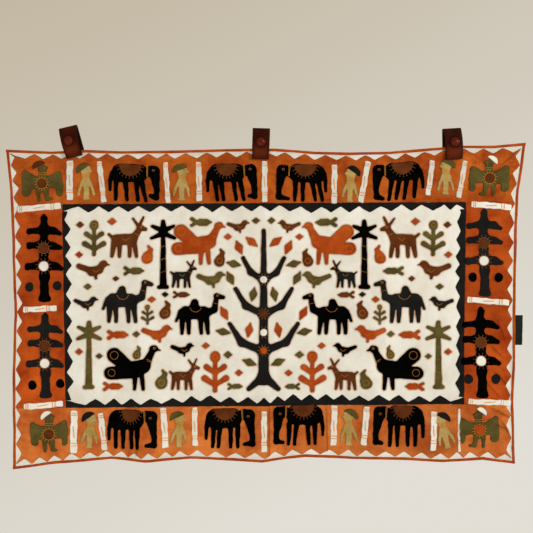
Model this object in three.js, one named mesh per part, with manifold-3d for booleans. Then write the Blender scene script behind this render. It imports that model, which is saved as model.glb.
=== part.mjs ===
// Applique wall hanging with leather hanging straps, in millimetres.
// A white cotton ground cloth with a rolled binding carries four rust orange bands with
// saw tooth edges, four charcoal saw tooth strips round a white field, and cut cloth
// motifs sewn on in front. Three folded leather straps with studs grip its top edge.
// +X runs to the right along the cloth, +Y into the wall and +Z up. The origin is on the
// wall plane, behind the stud of the middle strap, so every solid lies at y <= 0.

import * as THREE from "three";
import { mergeVertices } from "three/addons/utils/BufferGeometryUtils.js";
import Module from "manifold-3d";

const wasm = await Module();
wasm.setup();

// Clearance between pieces that touch.
const GAP = 0.3;

// Thickness of each material.
const LEATHER = 3;
const GROUND_CLOTH = 1.2;
const PATCH_CLOTH = 1;

// Rolled binding strips round the edge of the ground cloth.
const BINDING_WIDTH = 6.3;
const BINDING_BEHIND_GROUND = 0.5;
const BINDING_CORNER_GAP = 1.2;

// Depths of the layers, from the wall outwards.
const BINDING_BACK = -(LEATHER + GAP);
const GROUND_BACK = BINDING_BACK - BINDING_BEHIND_GROUND;
const GROUND_FRONT = GROUND_BACK - GROUND_CLOTH;
const PATCH_BACK = GROUND_FRONT - GAP;
const PATCH_FRONT = PATCH_BACK - PATCH_CLOTH;
const MOTIF_BACK = PATCH_FRONT - GAP;
const MOTIF_FRONT = MOTIF_BACK - PATCH_CLOTH;
const STRAP_INNER = MOTIF_FRONT - GAP;
const STRAP_FRONT = STRAP_INNER - LEATHER;

// Grid of points on which the folds of the cloth are laid out.
const SHEET = { left: -660, right: 680, bottom: -840, top: 60, columns: 28, rows: 7 };

// Colours and finishes.
const WHITE = { color: 0xdad2c2, roughness: 0.95 };
const ORANGE = { color: 0xa8541f, roughness: 0.95 };
const CHARCOAL = { color: 0x1d1d1b, roughness: 0.95 };
const BLACK = { color: 0x070806, roughness: 0.95 };
const BROWN = { color: 0x65341b, roughness: 0.95 };
const RUST = { color: 0x9a3f19, roughness: 0.95 };
const OLIVE = { color: 0x55502d, roughness: 0.95 };
const CREAM = { color: 0xb39a5c, roughness: 0.95 };
const DARK_GREEN = { color: 0x202522, roughness: 0.8 };
const BROWN_LEATHER = { color: 0x4a1a08, roughness: 0.45 };
const RED_STUD = { color: 0x4e1806, roughness: 0.25 };

// Outline of the cloth as it hangs: the height of the top and bottom edges along x, and
// the x of the left and right edges down the height.
const TOP_EDGE = [
  { at: -598, edge: -17 }, { at: -492, edge: -22 }, { at: -411, edge: -18 },
  { at: -329, edge: -21 }, { at: -189, edge: -19 }, { at: -37, edge: -15 },
  { at: 33, edge: -15 }, { at: 127, edge: -22 }, { at: 209, edge: -24 },
  { at: 304, edge: -22 }, { at: 396, edge: -14 }, { at: 477, edge: -8 },
  { at: 548, edge: -8 }, { at: 622, edge: -1 },
];
const BOTTOM_EDGE = [
  { at: -578, edge: -765 }, { at: -481, edge: -753 }, { at: -348, edge: -742 },
  { at: -270, edge: -749 }, { at: -165, edge: -742 }, { at: 3, edge: -749 },
  { at: 104, edge: -737 }, { at: 213, edge: -742 }, { at: 279, edge: -742 },
  { at: 424, edge: -749 }, { at: 517, edge: -742 }, { at: 594, edge: -753 },
];
const LEFT_EDGE = [
  { at: -765, edge: -578 }, { at: -674, edge: -579 }, { at: -534, edge: -581 },
  { at: -407, edge: -577 }, { at: -332, edge: -580 }, { at: -225, edge: -583 },
  { at: -113, edge: -588 }, { at: -17, edge: -598 },
];
const RIGHT_EDGE = [
  { at: -752, edge: 594 }, { at: -604, edge: 592 }, { at: -500, edge: 597 },
  { at: -300, edge: 599 }, { at: -206, edge: 601 }, { at: -113, edge: 606 },
  { at: -57, edge: 615 }, { at: 0, edge: 622 },
];

// White field inside the charcoal strips, as the corners of the strips' outer edge.
const FIELD = {
  topLeft: { x: -466, z: -146 }, topRight: { x: 482, z: -141 },
  bottomRight: { x: 475, z: -613 }, bottomLeft: { x: -457, z: -622 },
};

// Saw tooth outer edges of the orange bands: where the white notches between the teeth are
// along each side of the cloth, how deep they are, and the clearance from the binding.
const BAND_CLEAR = 0.5;
const BAND_TEETH = {
  top: {
    depth: 12.5,
    at: [-552, -510, -467, -425, -382, -338, -288, -243, -201, -150, -104, -56, -10,
      36, 79, 127, 178, 223, 268, 318, 361, 408, 452, 501, 545, 592],
  },
  bottom: {
    depth: 14,
    at: [-551, -516, -482, -442, -400, -362, -325, -295, -262, -222, -190, -148, -104, -58, -14,
      35, 75, 118, 161, 206, 246, 292, 336, 376, 421, 459, 488, 530, 570],
  },
  left: {
    depth: 13,
    at: [-728, -685, -640, -600, -556, -510, -466, -420, -377, -330, -292, -244, -198, -150,
      -108, -72, -36],
  },
  right: {
    depth: 12.5,
    at: [-720, -662, -616, -570, -528, -484, -435, -394, -346, -300, -257, -214, -166, -121,
      -74, -33],
  },
};

// Charcoal strips: where the white notches between their teeth are along each side of the
// field, the height of the teeth, and the width of the plain strip behind them.
const STRIP_TEETH = {
  top: {
    depth: 14.5,
    at: [-428, -380, -333, -287, -234, -184, -137, -90, -43, 0, 44, 94, 143, 187, 231, 282,
      330, 378, 431, 460],
    base: [{ at: 60, edge: 4.7 }, { at: 100, edge: 8.3 }, { at: 290, edge: 8.3 }, { at: 330, edge: 4.7 }],
  },
  bottom: {
    depth: 14.5,
    at: [-410, -364, -325, -281, -232, -183, -142, -94, -53, -8, 23, 56, 96, 134, 172, 209, 252,
      301, 346, 396, 445],
    base: [
      { at: -260, edge: 5.3 }, { at: -184, edge: 7.7 }, { at: -142, edge: 11 }, { at: -94, edge: 8.3 },
      { at: -8, edge: 5.3 }, { at: 30, edge: 6.5 }, { at: 56, edge: 11 }, { at: 172, edge: 11.5 },
      { at: 209, edge: 8.7 }, { at: 301, edge: 8.7 }, { at: 346, edge: 5.3 },
    ],
  },
  left: {
    depth: 14,
    at: [-582, -540, -490, -442, -398, -356, -310, -268, -225, -182],
    base: [{ at: -622, edge: 5.1 }, { at: -146, edge: 5.1 }],
  },
  right: {
    depth: 10,
    at: [-586, -544, -498, -454, -411, -362, -319, -287, -249, -208, -165],
    base: [
      { at: -410, edge: 9.5 }, { at: -362, edge: 11.5 }, { at: -287, edge: 13.5 }, { at: -208, edge: 11 },
    ],
  },
};

// Soft folds: a ridge stands forward and a hollow goes back, each fading in below `from`.
const FOLDS = [
  { name: "left border swell", x: -520, lean: 0.02, width: 60, forward: 4, from: -150 },
  { name: "left storage crease", x: -288, lean: -0.03, width: 42, forward: 5, from: -80 },
  { name: "left hollow", x: -140, lean: 0.04, width: 70, forward: -2, from: -200 },
  { name: "centre storage crease", x: 10, lean: 0, width: 30, forward: 5, from: -120 },
  { name: "right hollow", x: 150, lean: -0.05, width: 70, forward: -2, from: -180 },
  { name: "right storage crease", x: 288, lean: 0.03, width: 42, forward: 5, from: -80 },
  { name: "lower right swell", x: 545, lean: 0.06, width: 50, forward: 7, from: -380 },
];
const FOLD_FADE = 260;
const HEM_LIFT = { forward: 6, from: -450, to: -760 };
const HELD_FLAT = { from: -45, to: -200 };

// Leather straps: width at the top and bottom, the stud's place and the lean of the strap,
// how far the front leaf bows sideways and how far the back leaf drifts by its lower end.
const STRAP_ABOVE_STUD = 33;
const STRAP_BELOW_STUD = 41;
const STRAP_LEAF_STEPS = 6;
const STRAPS = [
  { name: "left", x: -450, z: 3, lean: 13.4, top: 42.5, bottom: 38, offset: 5.6, bow: -3, back: 5 },
  { name: "middle", x: 0, z: 0, lean: -1.8, top: 41, bottom: 39, offset: 0.5, bow: 0.5, back: -1 },
  { name: "right", x: 454.5, z: 0, lean: 3.4, top: 42, bottom: 41, offset: -5, bow: 3, back: -4 },
];
const STUD = { radius: 10.5, height: 6, shank: 2.2, around: 14, up: 4 };

// Bare tab sewn behind the right edge.
const TAB = { inner: 590, outer: 616, top: -406, bottom: -476, taper: 2, thickness: 1 };

// Motif outlines. Each row is a tapered rod from one round end to the other; x and z are
// measured from the middle of the motif's foot, and r is the radius at each end.
const ELEPHANT = [
  { part: "body", x0: -33, z0: 68, r0: 22, x1: 12, z1: 70, r1: 21 },
  { part: "head", x0: 38, z0: 75, r0: 13.5, x1: 47, z1: 77, r1: 12.5 },
  { part: "upper trunk", x0: 47, z0: 72, r0: 13.5, x1: 55, z1: 32, r1: 6.4 },
  { part: "upper tail", x0: -50, z0: 66, r0: 8, x1: -55.5, z1: 50, r1: 4.6 },
  { part: "lower tail", x0: -55.5, z0: 50, r0: 4.6, x1: -55.5, z1: 27, r1: 3.8 },
];
// The lower row of elephants is taller, with a thicker head.
const LOWER_ELEPHANT = [
  { part: "body", x0: -32, z0: 72, r0: 24, x1: 8, z1: 74, r1: 23 },
  { part: "head", x0: 36, z0: 82, r0: 14, x1: 47, z1: 82, r1: 13 },
  { part: "upper trunk", x0: 46, z0: 78, r0: 14, x1: 54, z1: 34, r1: 6.8 },
  { part: "upper tail", x0: -50, z0: 66, r0: 8, x1: -54.5, z1: 50, r1: 4.8 },
  { part: "lower tail", x0: -54.5, z0: 50, r0: 4.8, x1: -54.5, z1: 25, r1: 4 },
];
// Each elephant stands in its own way: its trunk's tip and its legs are given with its place.
const TRUNK = { x: 54.5, kneeHeight: 33, kneeRadius: 6.4, bendHeight: 14, bendRadius: 7, tipRadius: 4.8 };
const LEG_NAMES = ["outer hind leg", "inner hind leg", "inner fore leg", "outer fore leg"];
const LEG = { bellyHeight: 54, bellyRadius: 6.6, footHeight: 6, footRadius: 4.4 };
const FIGURE = [
  { part: "head", x0: 1, z0: 74, r0: 13, x1: 3, z1: 70, r1: 12.5 },
  { part: "nose", x0: 8, z0: 71, r0: 6, x1: 16, z1: 69, r1: 2.5 },
  { part: "neck", x0: 2, z0: 64, r0: 10.5, x1: 2, z1: 52, r1: 9 },
  { part: "skirt", x0: 1.5, z0: 50, r0: 7.5, x1: 0.8, z1: 12, r1: 7.2 },
  { part: "hem", x0: -5, z0: 3.8, r0: 3.6, x1: 6, z1: 3.8, r1: 3.6 },
  { part: "back upper arm", x0: -6, z0: 47, r0: 4.6, x1: -14, z1: 28, r1: 3.6 },
  { part: "back lower arm", x0: -14, z0: 28, r0: 3.6, x1: -18, z1: 14, r1: 3.4 },
  { part: "fore upper arm", x0: 9, z0: 47, r0: 4.6, x1: 15.5, z1: 28, r1: 3.6 },
  { part: "fore lower arm", x0: 15.5, z0: 28, r0: 3.6, x1: 18.5, z1: 13, r1: 3.4 },
];
const BIRD = [
  { part: "head", x0: 0, z0: 80, r0: 9.5, x1: 2, z1: 77, r1: 9.5 },
  { part: "beak", x0: 4, z0: 82, r0: 6, x1: 13, z1: 81.5, r1: 2 },
  { part: "neck", x0: 0.5, z0: 74, r0: 8.5, x1: 0.5, z1: 54, r1: 9.5 },
  { part: "chest", x0: 0, z0: 50, r0: 14, x1: 0, z1: 38, r1: 15 },
  { part: "back upper wing", x0: -16, z0: 50, r0: 10, x1: -41, z1: 69, r1: 6.5 },
  { part: "back wing edge", x0: -41, z0: 68, r0: 6.5, x1: -41, z1: 42, r1: 7 },
  { part: "back wing end", x0: -40, z0: 42, r0: 8, x1: -36.5, z1: 23, r1: 11 },
  { part: "back inner wing", x0: -12, z0: 46, r0: 15, x1: -31, z1: 45, r1: 15 },
  { part: "fore upper wing", x0: 16, z0: 50, r0: 10, x1: 39, z1: 67, r1: 6.5 },
  { part: "fore wing edge", x0: 40, z0: 66, r0: 6.5, x1: 43, z1: 42, r1: 7 },
  { part: "fore wing end", x0: 42, z0: 42, r0: 8, x1: 42.5, z1: 20.5, r1: 8 },
  { part: "fore inner wing", x0: 12, z0: 48, r0: 14, x1: 34, z1: 46, r1: 14 },
  { part: "back leg", x0: -9, z0: 28, r0: 6, x1: -7.5, z1: 4, r1: 3.6 },
  { part: "fore leg", x0: 8, z0: 30, r0: 7.5, x1: 13, z1: 8, r1: 4.6 },
  { part: "curled foot", x0: 13, z0: 7, r0: 4.6, x1: 23, z1: 7, r1: 3.6 },
];
// The bird in the lower left corner holds its wings closer.
const CLOSE_BIRD = [
  { part: "head", x0: -0.5, z0: 83, r0: 9, x1: 1, z1: 80, r1: 9 },
  { part: "beak", x0: 3, z0: 85, r0: 6, x1: 12, z1: 84.5, r1: 2 },
  { part: "neck", x0: 0, z0: 76, r0: 8, x1: 0, z1: 56, r1: 9 },
  { part: "chest", x0: 0, z0: 52, r0: 14, x1: 0, z1: 38, r1: 14 },
  { part: "back upper wing", x0: -14, z0: 50, r0: 10, x1: -37, z1: 66, r1: 6.5 },
  { part: "back wing edge", x0: -37, z0: 65, r0: 6.5, x1: -36, z1: 42, r1: 7 },
  { part: "back wing end", x0: -36, z0: 42, r0: 7, x1: -32, z1: 26, r1: 9.5 },
  { part: "back inner wing", x0: -12, z0: 48, r0: 15, x1: -27, z1: 46, r1: 15 },
  { part: "fore upper wing", x0: 14, z0: 52, r0: 10, x1: 34, z1: 70, r1: 6 },
  { part: "fore wing edge", x0: 35, z0: 69, r0: 6, x1: 37, z1: 44, r1: 6.5 },
  { part: "fore wing end", x0: 37, z0: 44, r0: 6.5, x1: 36, z1: 24, r1: 7 },
  { part: "fore inner wing", x0: 12, z0: 48, r0: 14, x1: 29, z1: 48, r1: 14 },
  { part: "back leg", x0: -9, z0: 28, r0: 6, x1: -9, z1: 4, r1: 3.6 },
  { part: "fore leg", x0: 6, z0: 30, r0: 7.5, x1: 9, z1: 8, r1: 4.6 },
  { part: "curled foot", x0: 9, z0: 7, r0: 4.6, x1: 17, z1: 7, r1: 3.6 },
];
const TREE = [
  { part: "finial tip", x0: -1, z0: 203, r0: 2.5, x1: -1, z1: 196, r1: 6.6 },
  { part: "finial", x0: -1, z0: 196, r0: 6.6, x1: -1.5, z1: 180, r1: 6.4 },
  { part: "upper trunk", x0: -1.5, z0: 180, r0: 7, x1: -2, z1: 150, r1: 7.4 },
  { part: "middle trunk", x0: -2, z0: 150, r0: 7.4, x1: -1.5, z1: 112, r1: 10 },
  { part: "lower trunk", x0: -1.5, z0: 112, r0: 10, x1: 0.5, z1: 60, r1: 11 },
  { part: "waist", x0: 0.5, z0: 60, r0: 11, x1: 1, z1: 32, r1: 8.6 },
  { part: "trunk foot", x0: 1, z0: 32, r0: 8.6, x1: 1, z1: 13, r1: 12 },
  { part: "root", x0: -8.5, z0: 4.6, r0: 4.4, x1: 10.5, z1: 4.6, r1: 4.4 },
  { part: "upper left bough", x0: -4, z0: 168, r0: 9.5, x1: -35, z1: 165, r1: 5.8 },
  { part: "upper left end", x0: -38, z0: 166, r0: 3.6, x1: -38, z1: 162, r1: 3.6 },
  { part: "upper right bough", x0: 2, z0: 168, r0: 9.5, x1: 22, z1: 166, r1: 7.4 },
  { part: "upper right end", x0: 22, z0: 166, r0: 7.4, x1: 37, z1: 159, r1: 5 },
  { part: "middle left bough", x0: -4, z0: 133, r0: 11, x1: -33, z1: 131.5, r1: 7 },
  { part: "middle left end", x0: -37.5, z0: 134, r0: 3.8, x1: -37.5, z1: 128.5, r1: 3.8 },
  { part: "middle right bough", x0: 2, z0: 133, r0: 11, x1: 22, z1: 130.5, r1: 7.6 },
  { part: "middle right end", x0: 22, z0: 130.5, r0: 7.6, x1: 37.5, z1: 126, r1: 5.4 },
  { part: "lower left bough", x0: -4, z0: 86, r0: 12.5, x1: -36, z1: 82, r1: 7.2 },
  { part: "lower left end", x0: -41, z0: 85, r0: 3.8, x1: -41, z1: 78.5, r1: 3.8 },
  { part: "lower right bough", x0: 3, z0: 86, r0: 12.5, x1: 24, z1: 83, r1: 8 },
  { part: "lower right end", x0: 24, z0: 83, r0: 8, x1: 39, z1: 77.5, r1: 6 },
];

// Generic motifs of the white field.
const TREE_OF_LIFE = [
  { part: "trunk", x0: 0, z0: 378, r0: 5, x1: 0, z1: 30, r1: 13 },
  { part: "left root", x0: -4, z0: 34, r0: 10, x1: -34, z1: 8, r1: 6 },
  { part: "right root", x0: 4, z0: 34, r0: 10, x1: 34, z1: 8, r1: 6 },
  { part: "first left branch", x0: 0, z0: 96, r0: 10, x1: -52, z1: 116, r1: 8 },
  { part: "first left tip", x0: -52, z0: 116, r0: 8, x1: -80, z1: 160, r1: 5 },
  { part: "first right branch", x0: 0, z0: 96, r0: 10, x1: 52, z1: 116, r1: 8 },
  { part: "first right tip", x0: 52, z0: 116, r0: 8, x1: 80, z1: 160, r1: 5 },
  { part: "second left branch", x0: 0, z0: 182, r0: 9, x1: -42, z1: 202, r1: 7 },
  { part: "second left tip", x0: -42, z0: 202, r0: 7, x1: -66, z1: 242, r1: 5 },
  { part: "second right branch", x0: 0, z0: 182, r0: 9, x1: 42, z1: 202, r1: 7 },
  { part: "second right tip", x0: 42, z0: 202, r0: 7, x1: 66, z1: 242, r1: 5 },
  { part: "third left branch", x0: 0, z0: 262, r0: 8, x1: -30, z1: 280, r1: 6 },
  { part: "third left tip", x0: -30, z0: 280, r0: 6, x1: -48, z1: 314, r1: 5 },
  { part: "third right branch", x0: 0, z0: 262, r0: 8, x1: 30, z1: 280, r1: 6 },
  { part: "third right tip", x0: 30, z0: 280, r0: 6, x1: 48, z1: 314, r1: 5 },
];
const PEACOCK = [
  { part: "body", x0: -8, z0: 46, r0: 20, x1: 14, z1: 54, r1: 16 },
  { part: "neck", x0: 18, z0: 58, r0: 11, x1: 34, z1: 88, r1: 6.5 },
  { part: "head", x0: 35, z0: 92, r0: 8.5, x1: 38, z1: 93, r1: 8 },
  { part: "beak", x0: 40, z0: 92, r0: 4, x1: 51, z1: 89, r1: 1.5 },
  { part: "upper tail", x0: -18, z0: 50, r0: 14, x1: -52, z1: 78, r1: 17 },
  { part: "lower tail", x0: -20, z0: 40, r0: 14, x1: -60, z1: 38, r1: 15 },
  { part: "hind leg", x0: -4, z0: 32, r0: 6, x1: -6, z1: 4, r1: 4 },
  { part: "fore leg", x0: 10, z0: 38, r0: 6, x1: 14, z1: 4, r1: 4 },
];
const CAMEL = [
  { part: "body", x0: -26, z0: 54, r0: 17, x1: 18, z1: 54, r1: 16 },
  { part: "hump", x0: -6, z0: 62, r0: 16, x1: -4, z1: 80, r1: 9 },
  { part: "neck base", x0: 24, z0: 54, r0: 11, x1: 44, z1: 62, r1: 8 },
  { part: "neck", x0: 44, z0: 62, r0: 8, x1: 50, z1: 92, r1: 6 },
  { part: "muzzle", x0: 50, z0: 96, r0: 7.5, x1: 66, z1: 92, r1: 5 },
  { part: "tail", x0: -40, z0: 58, r0: 5, x1: -50, z1: 34, r1: 3.5 },
  { part: "outer hind leg", x0: -34, z0: 44, r0: 8, x1: -36, z1: 4, r1: 4.5 },
  { part: "inner hind leg", x0: -20, z0: 42, r0: 7, x1: -19, z1: 4, r1: 4.5 },
  { part: "inner fore leg", x0: 10, z0: 42, r0: 7, x1: 12, z1: 4, r1: 4.5 },
  { part: "outer fore leg", x0: 24, z0: 44, r0: 8, x1: 29, z1: 4, r1: 4.5 },
];
const DEER = [
  { part: "body", x0: -22, z0: 42, r0: 13, x1: 14, z1: 44, r1: 12 },
  { part: "neck", x0: 18, z0: 48, r0: 9, x1: 30, z1: 66, r1: 6.5 },
  { part: "head", x0: 31, z0: 70, r0: 7, x1: 44, z1: 66, r1: 4.5 },
  { part: "fore antler", x0: 30, z0: 74, r0: 3.5, x1: 39, z1: 94, r1: 2.5 },
  { part: "back antler", x0: 28, z0: 74, r0: 3.5, x1: 15, z1: 91, r1: 2.5 },
  { part: "tail", x0: -33, z0: 48, r0: 4, x1: -41, z1: 55, r1: 3 },
  { part: "outer hind leg", x0: -28, z0: 36, r0: 7, x1: -34, z1: 4, r1: 4 },
  { part: "inner hind leg", x0: -16, z0: 34, r0: 6, x1: -16, z1: 4, r1: 4 },
  { part: "inner fore leg", x0: 8, z0: 36, r0: 6, x1: 8, z1: 4, r1: 4 },
  { part: "outer fore leg", x0: 18, z0: 38, r0: 6, x1: 24, z1: 4, r1: 4 },
];
const PALM = [
  { part: "trunk", x0: 0, z0: 132, r0: 5, x1: 0, z1: 12, r1: 8 },
  { part: "foot", x0: -9, z0: 6, r0: 5, x1: 9, z1: 6, r1: 5 },
  { part: "crown", x0: 0, z0: 134, r0: 9, x1: 0, z1: 160, r1: 5 },
  { part: "upper left frond", x0: 0, z0: 138, r0: 7, x1: -25, z1: 149, r1: 4 },
  { part: "upper right frond", x0: 0, z0: 138, r0: 7, x1: 25, z1: 149, r1: 4 },
  { part: "lower left frond", x0: 0, z0: 132, r0: 7, x1: -27, z1: 121, r1: 4 },
  { part: "lower right frond", x0: 0, z0: 132, r0: 7, x1: 27, z1: 121, r1: 4 },
];

// Where the border motifs sit: the middle of each foot, the size, and the tilt in degrees.
// tip: the end of the trunk. legs: where each leg leaves the belly, and where its foot stands.
const BORDER_ELEPHANTS = [
  {
    name: "top_1", rods: ELEPHANT, x: -300, z: -142, facing: 1, size: 1, tilt: -3,
    tip: [40.5, 18.5], legs: [[-41.5, -40.8], [-20.5, -13.5], [5, 11.8], [17, 30.8]],
  },
  {
    name: "top_2", rods: ELEPHANT, x: -69, z: -141, facing: 1, size: 1, tilt: 0,
    tip: [43, 14.5], legs: [[-38.5, -32.5], [-25, -17.5], [5, 11.5], [20, 30]],
  },
  {
    name: "top_3", rods: ELEPHANT, x: 97, z: -142, facing: -1, size: 1, tilt: 0,
    tip: [33, 9.5], legs: [[-38, -47.5], [-23, -31.5], [-2, -1.6], [15, 16.8]],
  },
  {
    name: "top_4", rods: ELEPHANT, x: 328, z: -138, facing: -1, size: 1, tilt: 5,
    tip: [41, 8.5], legs: [[-41, -32.6], [-20.6, -8.7], [-3, 10], [15, 27]],
  },
  {
    name: "bottom_1", rods: LOWER_ELEPHANT, x: -302, z: -721, facing: 1, size: 0.98, tilt: -1,
    tip: [35.5, 12.5], legs: [[-38, -38], [-20, -20], [-1, 0.7], [13.7, 14.3]],
  },
  {
    name: "bottom_2", rods: LOWER_ELEPHANT, x: -73, z: -719, facing: 1, size: 0.99, tilt: 0,
    tip: [35.5, 12.5], legs: [[-37, -39.5], [-22.5, -26], [3, 3], [19.5, 20]],
  },
  {
    name: "bottom_3", rods: LOWER_ELEPHANT, x: 92, z: -712, facing: -1, size: 1, tilt: 2,
    tip: [40, 10.5], legs: [[-36, -36], [-20, -20.5], [6, 13], [23, 26.5]],
  },
  {
    name: "bottom_4", rods: LOWER_ELEPHANT, x: 324, z: -715, facing: -1, size: 1.02, tilt: 0,
    tip: [42, 11.5], legs: [[-37, -36.3], [-19.6, -19.2], [4, 5], [19.6, 22]],
  },
];
const BORDER_FIGURES = [
  { name: "top_1", x: -409, z: -136, facing: 1, size: 0.98, tilt: 3 },
  { name: "top_2", x: -187, z: -138, facing: 1, size: 0.98, tilt: -1 },
  { name: "top_3", x: 208, z: -141, facing: -1, size: 0.96, tilt: -5 },
  { name: "top_4", x: 433, z: -124, facing: -1, size: 0.96, tilt: -3 },
  { name: "bottom_1", x: -402, z: -717, facing: 1, size: 0.96, tilt: -2 },
  { name: "bottom_2", x: -192, z: -716, facing: 1, size: 0.96, tilt: 0 },
  { name: "bottom_3", x: 207, z: -712, facing: -1, size: 0.98, tilt: 0 },
  { name: "bottom_4", x: 438, z: -717, facing: -1, size: 0.96, tilt: 12 },
];
const BORDER_BIRDS = [
  { name: "top_left", rods: BIRD, x: -513, z: -140, facing: 1, size: 0.98, tilt: 0 },
  { name: "top_right", rods: BIRD, x: 537, z: -128, facing: -1, size: 0.98, tilt: 0 },
  { name: "bottom_left", rods: CLOSE_BIRD, x: -494, z: -727, facing: 1, size: 1, tilt: 0 },
  { name: "bottom_right", rods: BIRD, x: 508, z: -715, facing: -1, size: 0.97, tilt: 2 },
];
const BORDER_TREES = [
  { name: "left_upper", x: -507, z: -374, facing: 1, size: 1, tilt: 0, cloth: BLACK },
  { name: "left_lower", x: -504, z: -599, facing: 1, size: 0.97, tilt: 0, cloth: CHARCOAL },
  { name: "right_upper", x: 525, z: -361, facing: 1, size: 1, tilt: 0, cloth: CHARCOAL },
  { name: "right_lower", x: 517, z: -598, facing: 1, size: 1.03, tilt: 0, cloth: BLACK },
];

// The white field: one tree in the middle, and the same motifs mirrored on each side of it.
const FIELD_CENTRE = 7;
const FIELD_TREE = { x: FIELD_CENTRE, z: -586, facing: 1, size: 1, tilt: 0 };
const FIELD_PAIRS = [
  { name: "peacock_upper", rods: PEACOCK, out: 142, z: -288, size: 1, cloth: RUST },
  { name: "palm_upper", rods: PALM, out: 236, z: -346, size: 1, cloth: BLACK },
  { name: "deer", rods: DEER, out: 322, z: -272, size: 1.02, cloth: BROWN },
  { name: "camel_inner", rods: CAMEL, out: 158, z: -452, size: 0.95, cloth: BLACK },
  { name: "camel_outer", rods: CAMEL, out: 328, z: -424, size: 0.98, cloth: CHARCOAL },
  { name: "palm_lower", rods: PALM, out: 410, z: -580, size: 0.98, cloth: OLIVE },
  { name: "peacock_lower", rods: PEACOCK, out: 296, z: -582, size: 1.05, cloth: BLACK },
];

const PRISM_REACH = 45;
const SAME_POINT = 1e-4;

const easeIn = (value, from, to) => THREE.MathUtils.smoothstep((from - value) / (from - to), 0, 1);

// Depth of the hanging cloth at a point, negative towards the viewer.
function foldDepth(x, z) {
  const free = easeIn(z, HELD_FLAT.from, HELD_FLAT.to);
  let forward = HEM_LIFT.forward * easeIn(z, HEM_LIFT.from, HEM_LIFT.to);
  for (const fold of FOLDS) {
    const across = (x - fold.x - fold.lean * z) / fold.width;
    forward += fold.forward * Math.exp(-across * across) * easeIn(z, fold.from, fold.from - FOLD_FADE);
  }
  return -forward * free;
}

// The four sides of the cloth: the table of each, its inward direction, and whether it
// runs across.
const SIDES = {
  top: { table: TOP_EDGE, inwards: -1, across: true },
  bottom: { table: BOTTOM_EDGE, inwards: 1, across: true },
  left: { table: LEFT_EDGE, inwards: 1, across: false },
  right: { table: RIGHT_EDGE, inwards: -1, across: false },
};

// Edge of the cloth at a position along it.
function edgeAt(table, position) {
  const after = table.findIndex((row) => row.at >= position);
  if (after === 0) return table[0].edge;
  if (after < 0) return table.at(-1).edge;
  const [low, high] = [table[after - 1], table[after]];
  return THREE.MathUtils.mapLinear(position, low.at, high.at, low.edge, high.edge);
}

// Points of one side of the cloth's outline, moved inwards by `inset`, from one position
// along it to the other.
function sidePoints(side, inset, from, to) {
  const { table, inwards, across } = SIDES[side];
  const [low, high] = [Math.min(from, to), Math.max(from, to)];
  const inner = table.map((row) => row.at).filter((at) => at > low && at < high);
  if (to < from) inner.reverse();
  return [from, ...inner, to].map((at) => {
    const edge = edgeAt(table, at) + inwards * inset;
    return across ? [at, edge] : [edge, at];
  });
}

// Corners of the cloth's outline, moved inwards by `inset`.
function corners(inset) {
  const corner = (across, down, start) => {
    let [x, z] = [start.at, start.edge];
    for (let pass = 0; pass < 4; pass += 1) {
      x = edgeAt(down.table, z) + down.inwards * inset;
      z = edgeAt(across.table, x) + across.inwards * inset;
    }
    return [x, z];
  };
  return {
    topLeft: corner(SIDES.top, SIDES.left, TOP_EDGE[0]),
    topRight: corner(SIDES.top, SIDES.right, TOP_EDGE.at(-1)),
    bottomRight: corner(SIDES.bottom, SIDES.right, BOTTOM_EDGE.at(-1)),
    bottomLeft: corner(SIDES.bottom, SIDES.left, BOTTOM_EDGE[0]),
  };
}

// Whole outline of the cloth, moved inwards by `inset`, clockwise from the top left.
function clothOutline(inset) {
  const { topLeft, topRight, bottomRight, bottomLeft } = corners(inset);
  return [
    ...sidePoints("top", inset, topLeft[0], topRight[0]),
    ...sidePoints("right", inset, topRight[1], bottomRight[1]).slice(1),
    ...sidePoints("bottom", inset, bottomRight[0], bottomLeft[0]).slice(1),
    ...sidePoints("left", inset, bottomLeft[1], topLeft[1]).slice(1, -1),
  ];
}

// Slight hand cut unevenness, the same on each run, and how much it changes a tooth's depth.
const TOOTH_UNEVENNESS = 0.1;
const uneven = (index) => Math.sin(index * 2.3 + 0.7) * 0.6 + Math.sin(index * 5.1) * 0.4;

// Saw tooth line between two places along a side, as rows of place and inset. The line is at
// `notch` where `places` says and at `tip` half way between and at both ends of the side.
function sawLine(places, notch, tip, [start, end], [from, to]) {
  const marks = [[start, tip(start)]];
  places.forEach((place, index) => {
    marks.push([place, notch(place, index)]);
    const middle = (place + places[index + 1]) / 2;
    if (index + 1 < places.length) marks.push([middle, tip(middle, index)]);
  });
  marks.push([end, tip(end)]);
  const table = marks.map(([at, edge]) => ({ at, edge }));
  const [low, high] = [Math.min(from, to), Math.max(from, to)];
  const inner = table.filter(({ at }) => at > low && at < high).map(({ at, edge }) => [at, edge]);
  const line = [[low, edgeAt(table, low)], ...inner, [high, edgeAt(table, high)]];
  return to < from ? line.reverse() : line;
}

// Closed prism of an outline in x and z, deep enough to pass through every layer.
function prismOf(points) {
  const shape = new THREE.Shape(points.map(([x, z]) => new THREE.Vector2(x, z)));
  const prism = new THREE.ExtrudeGeometry(shape, { depth: 2 * PRISM_REACH, bevelEnabled: false });
  prism.rotateX(Math.PI / 2);
  prism.translate(0, PRISM_REACH, 0);
  return solidOf(prism);
}

// Solid of a closed geometry.
function solidOf(geometry) {
  const bare = geometry.index ? geometry.clone() : geometry;
  bare.deleteAttribute("normal");
  bare.deleteAttribute("uv");
  const merged = mergeVertices(bare, SAME_POINT);
  const vertProperties = new Float32Array(merged.attributes.position.array);
  const triVerts = new Uint32Array(merged.index.array);
  return new wasm.Manifold(new wasm.Mesh({ numProp: 3, vertProperties, triVerts }));
}

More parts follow.
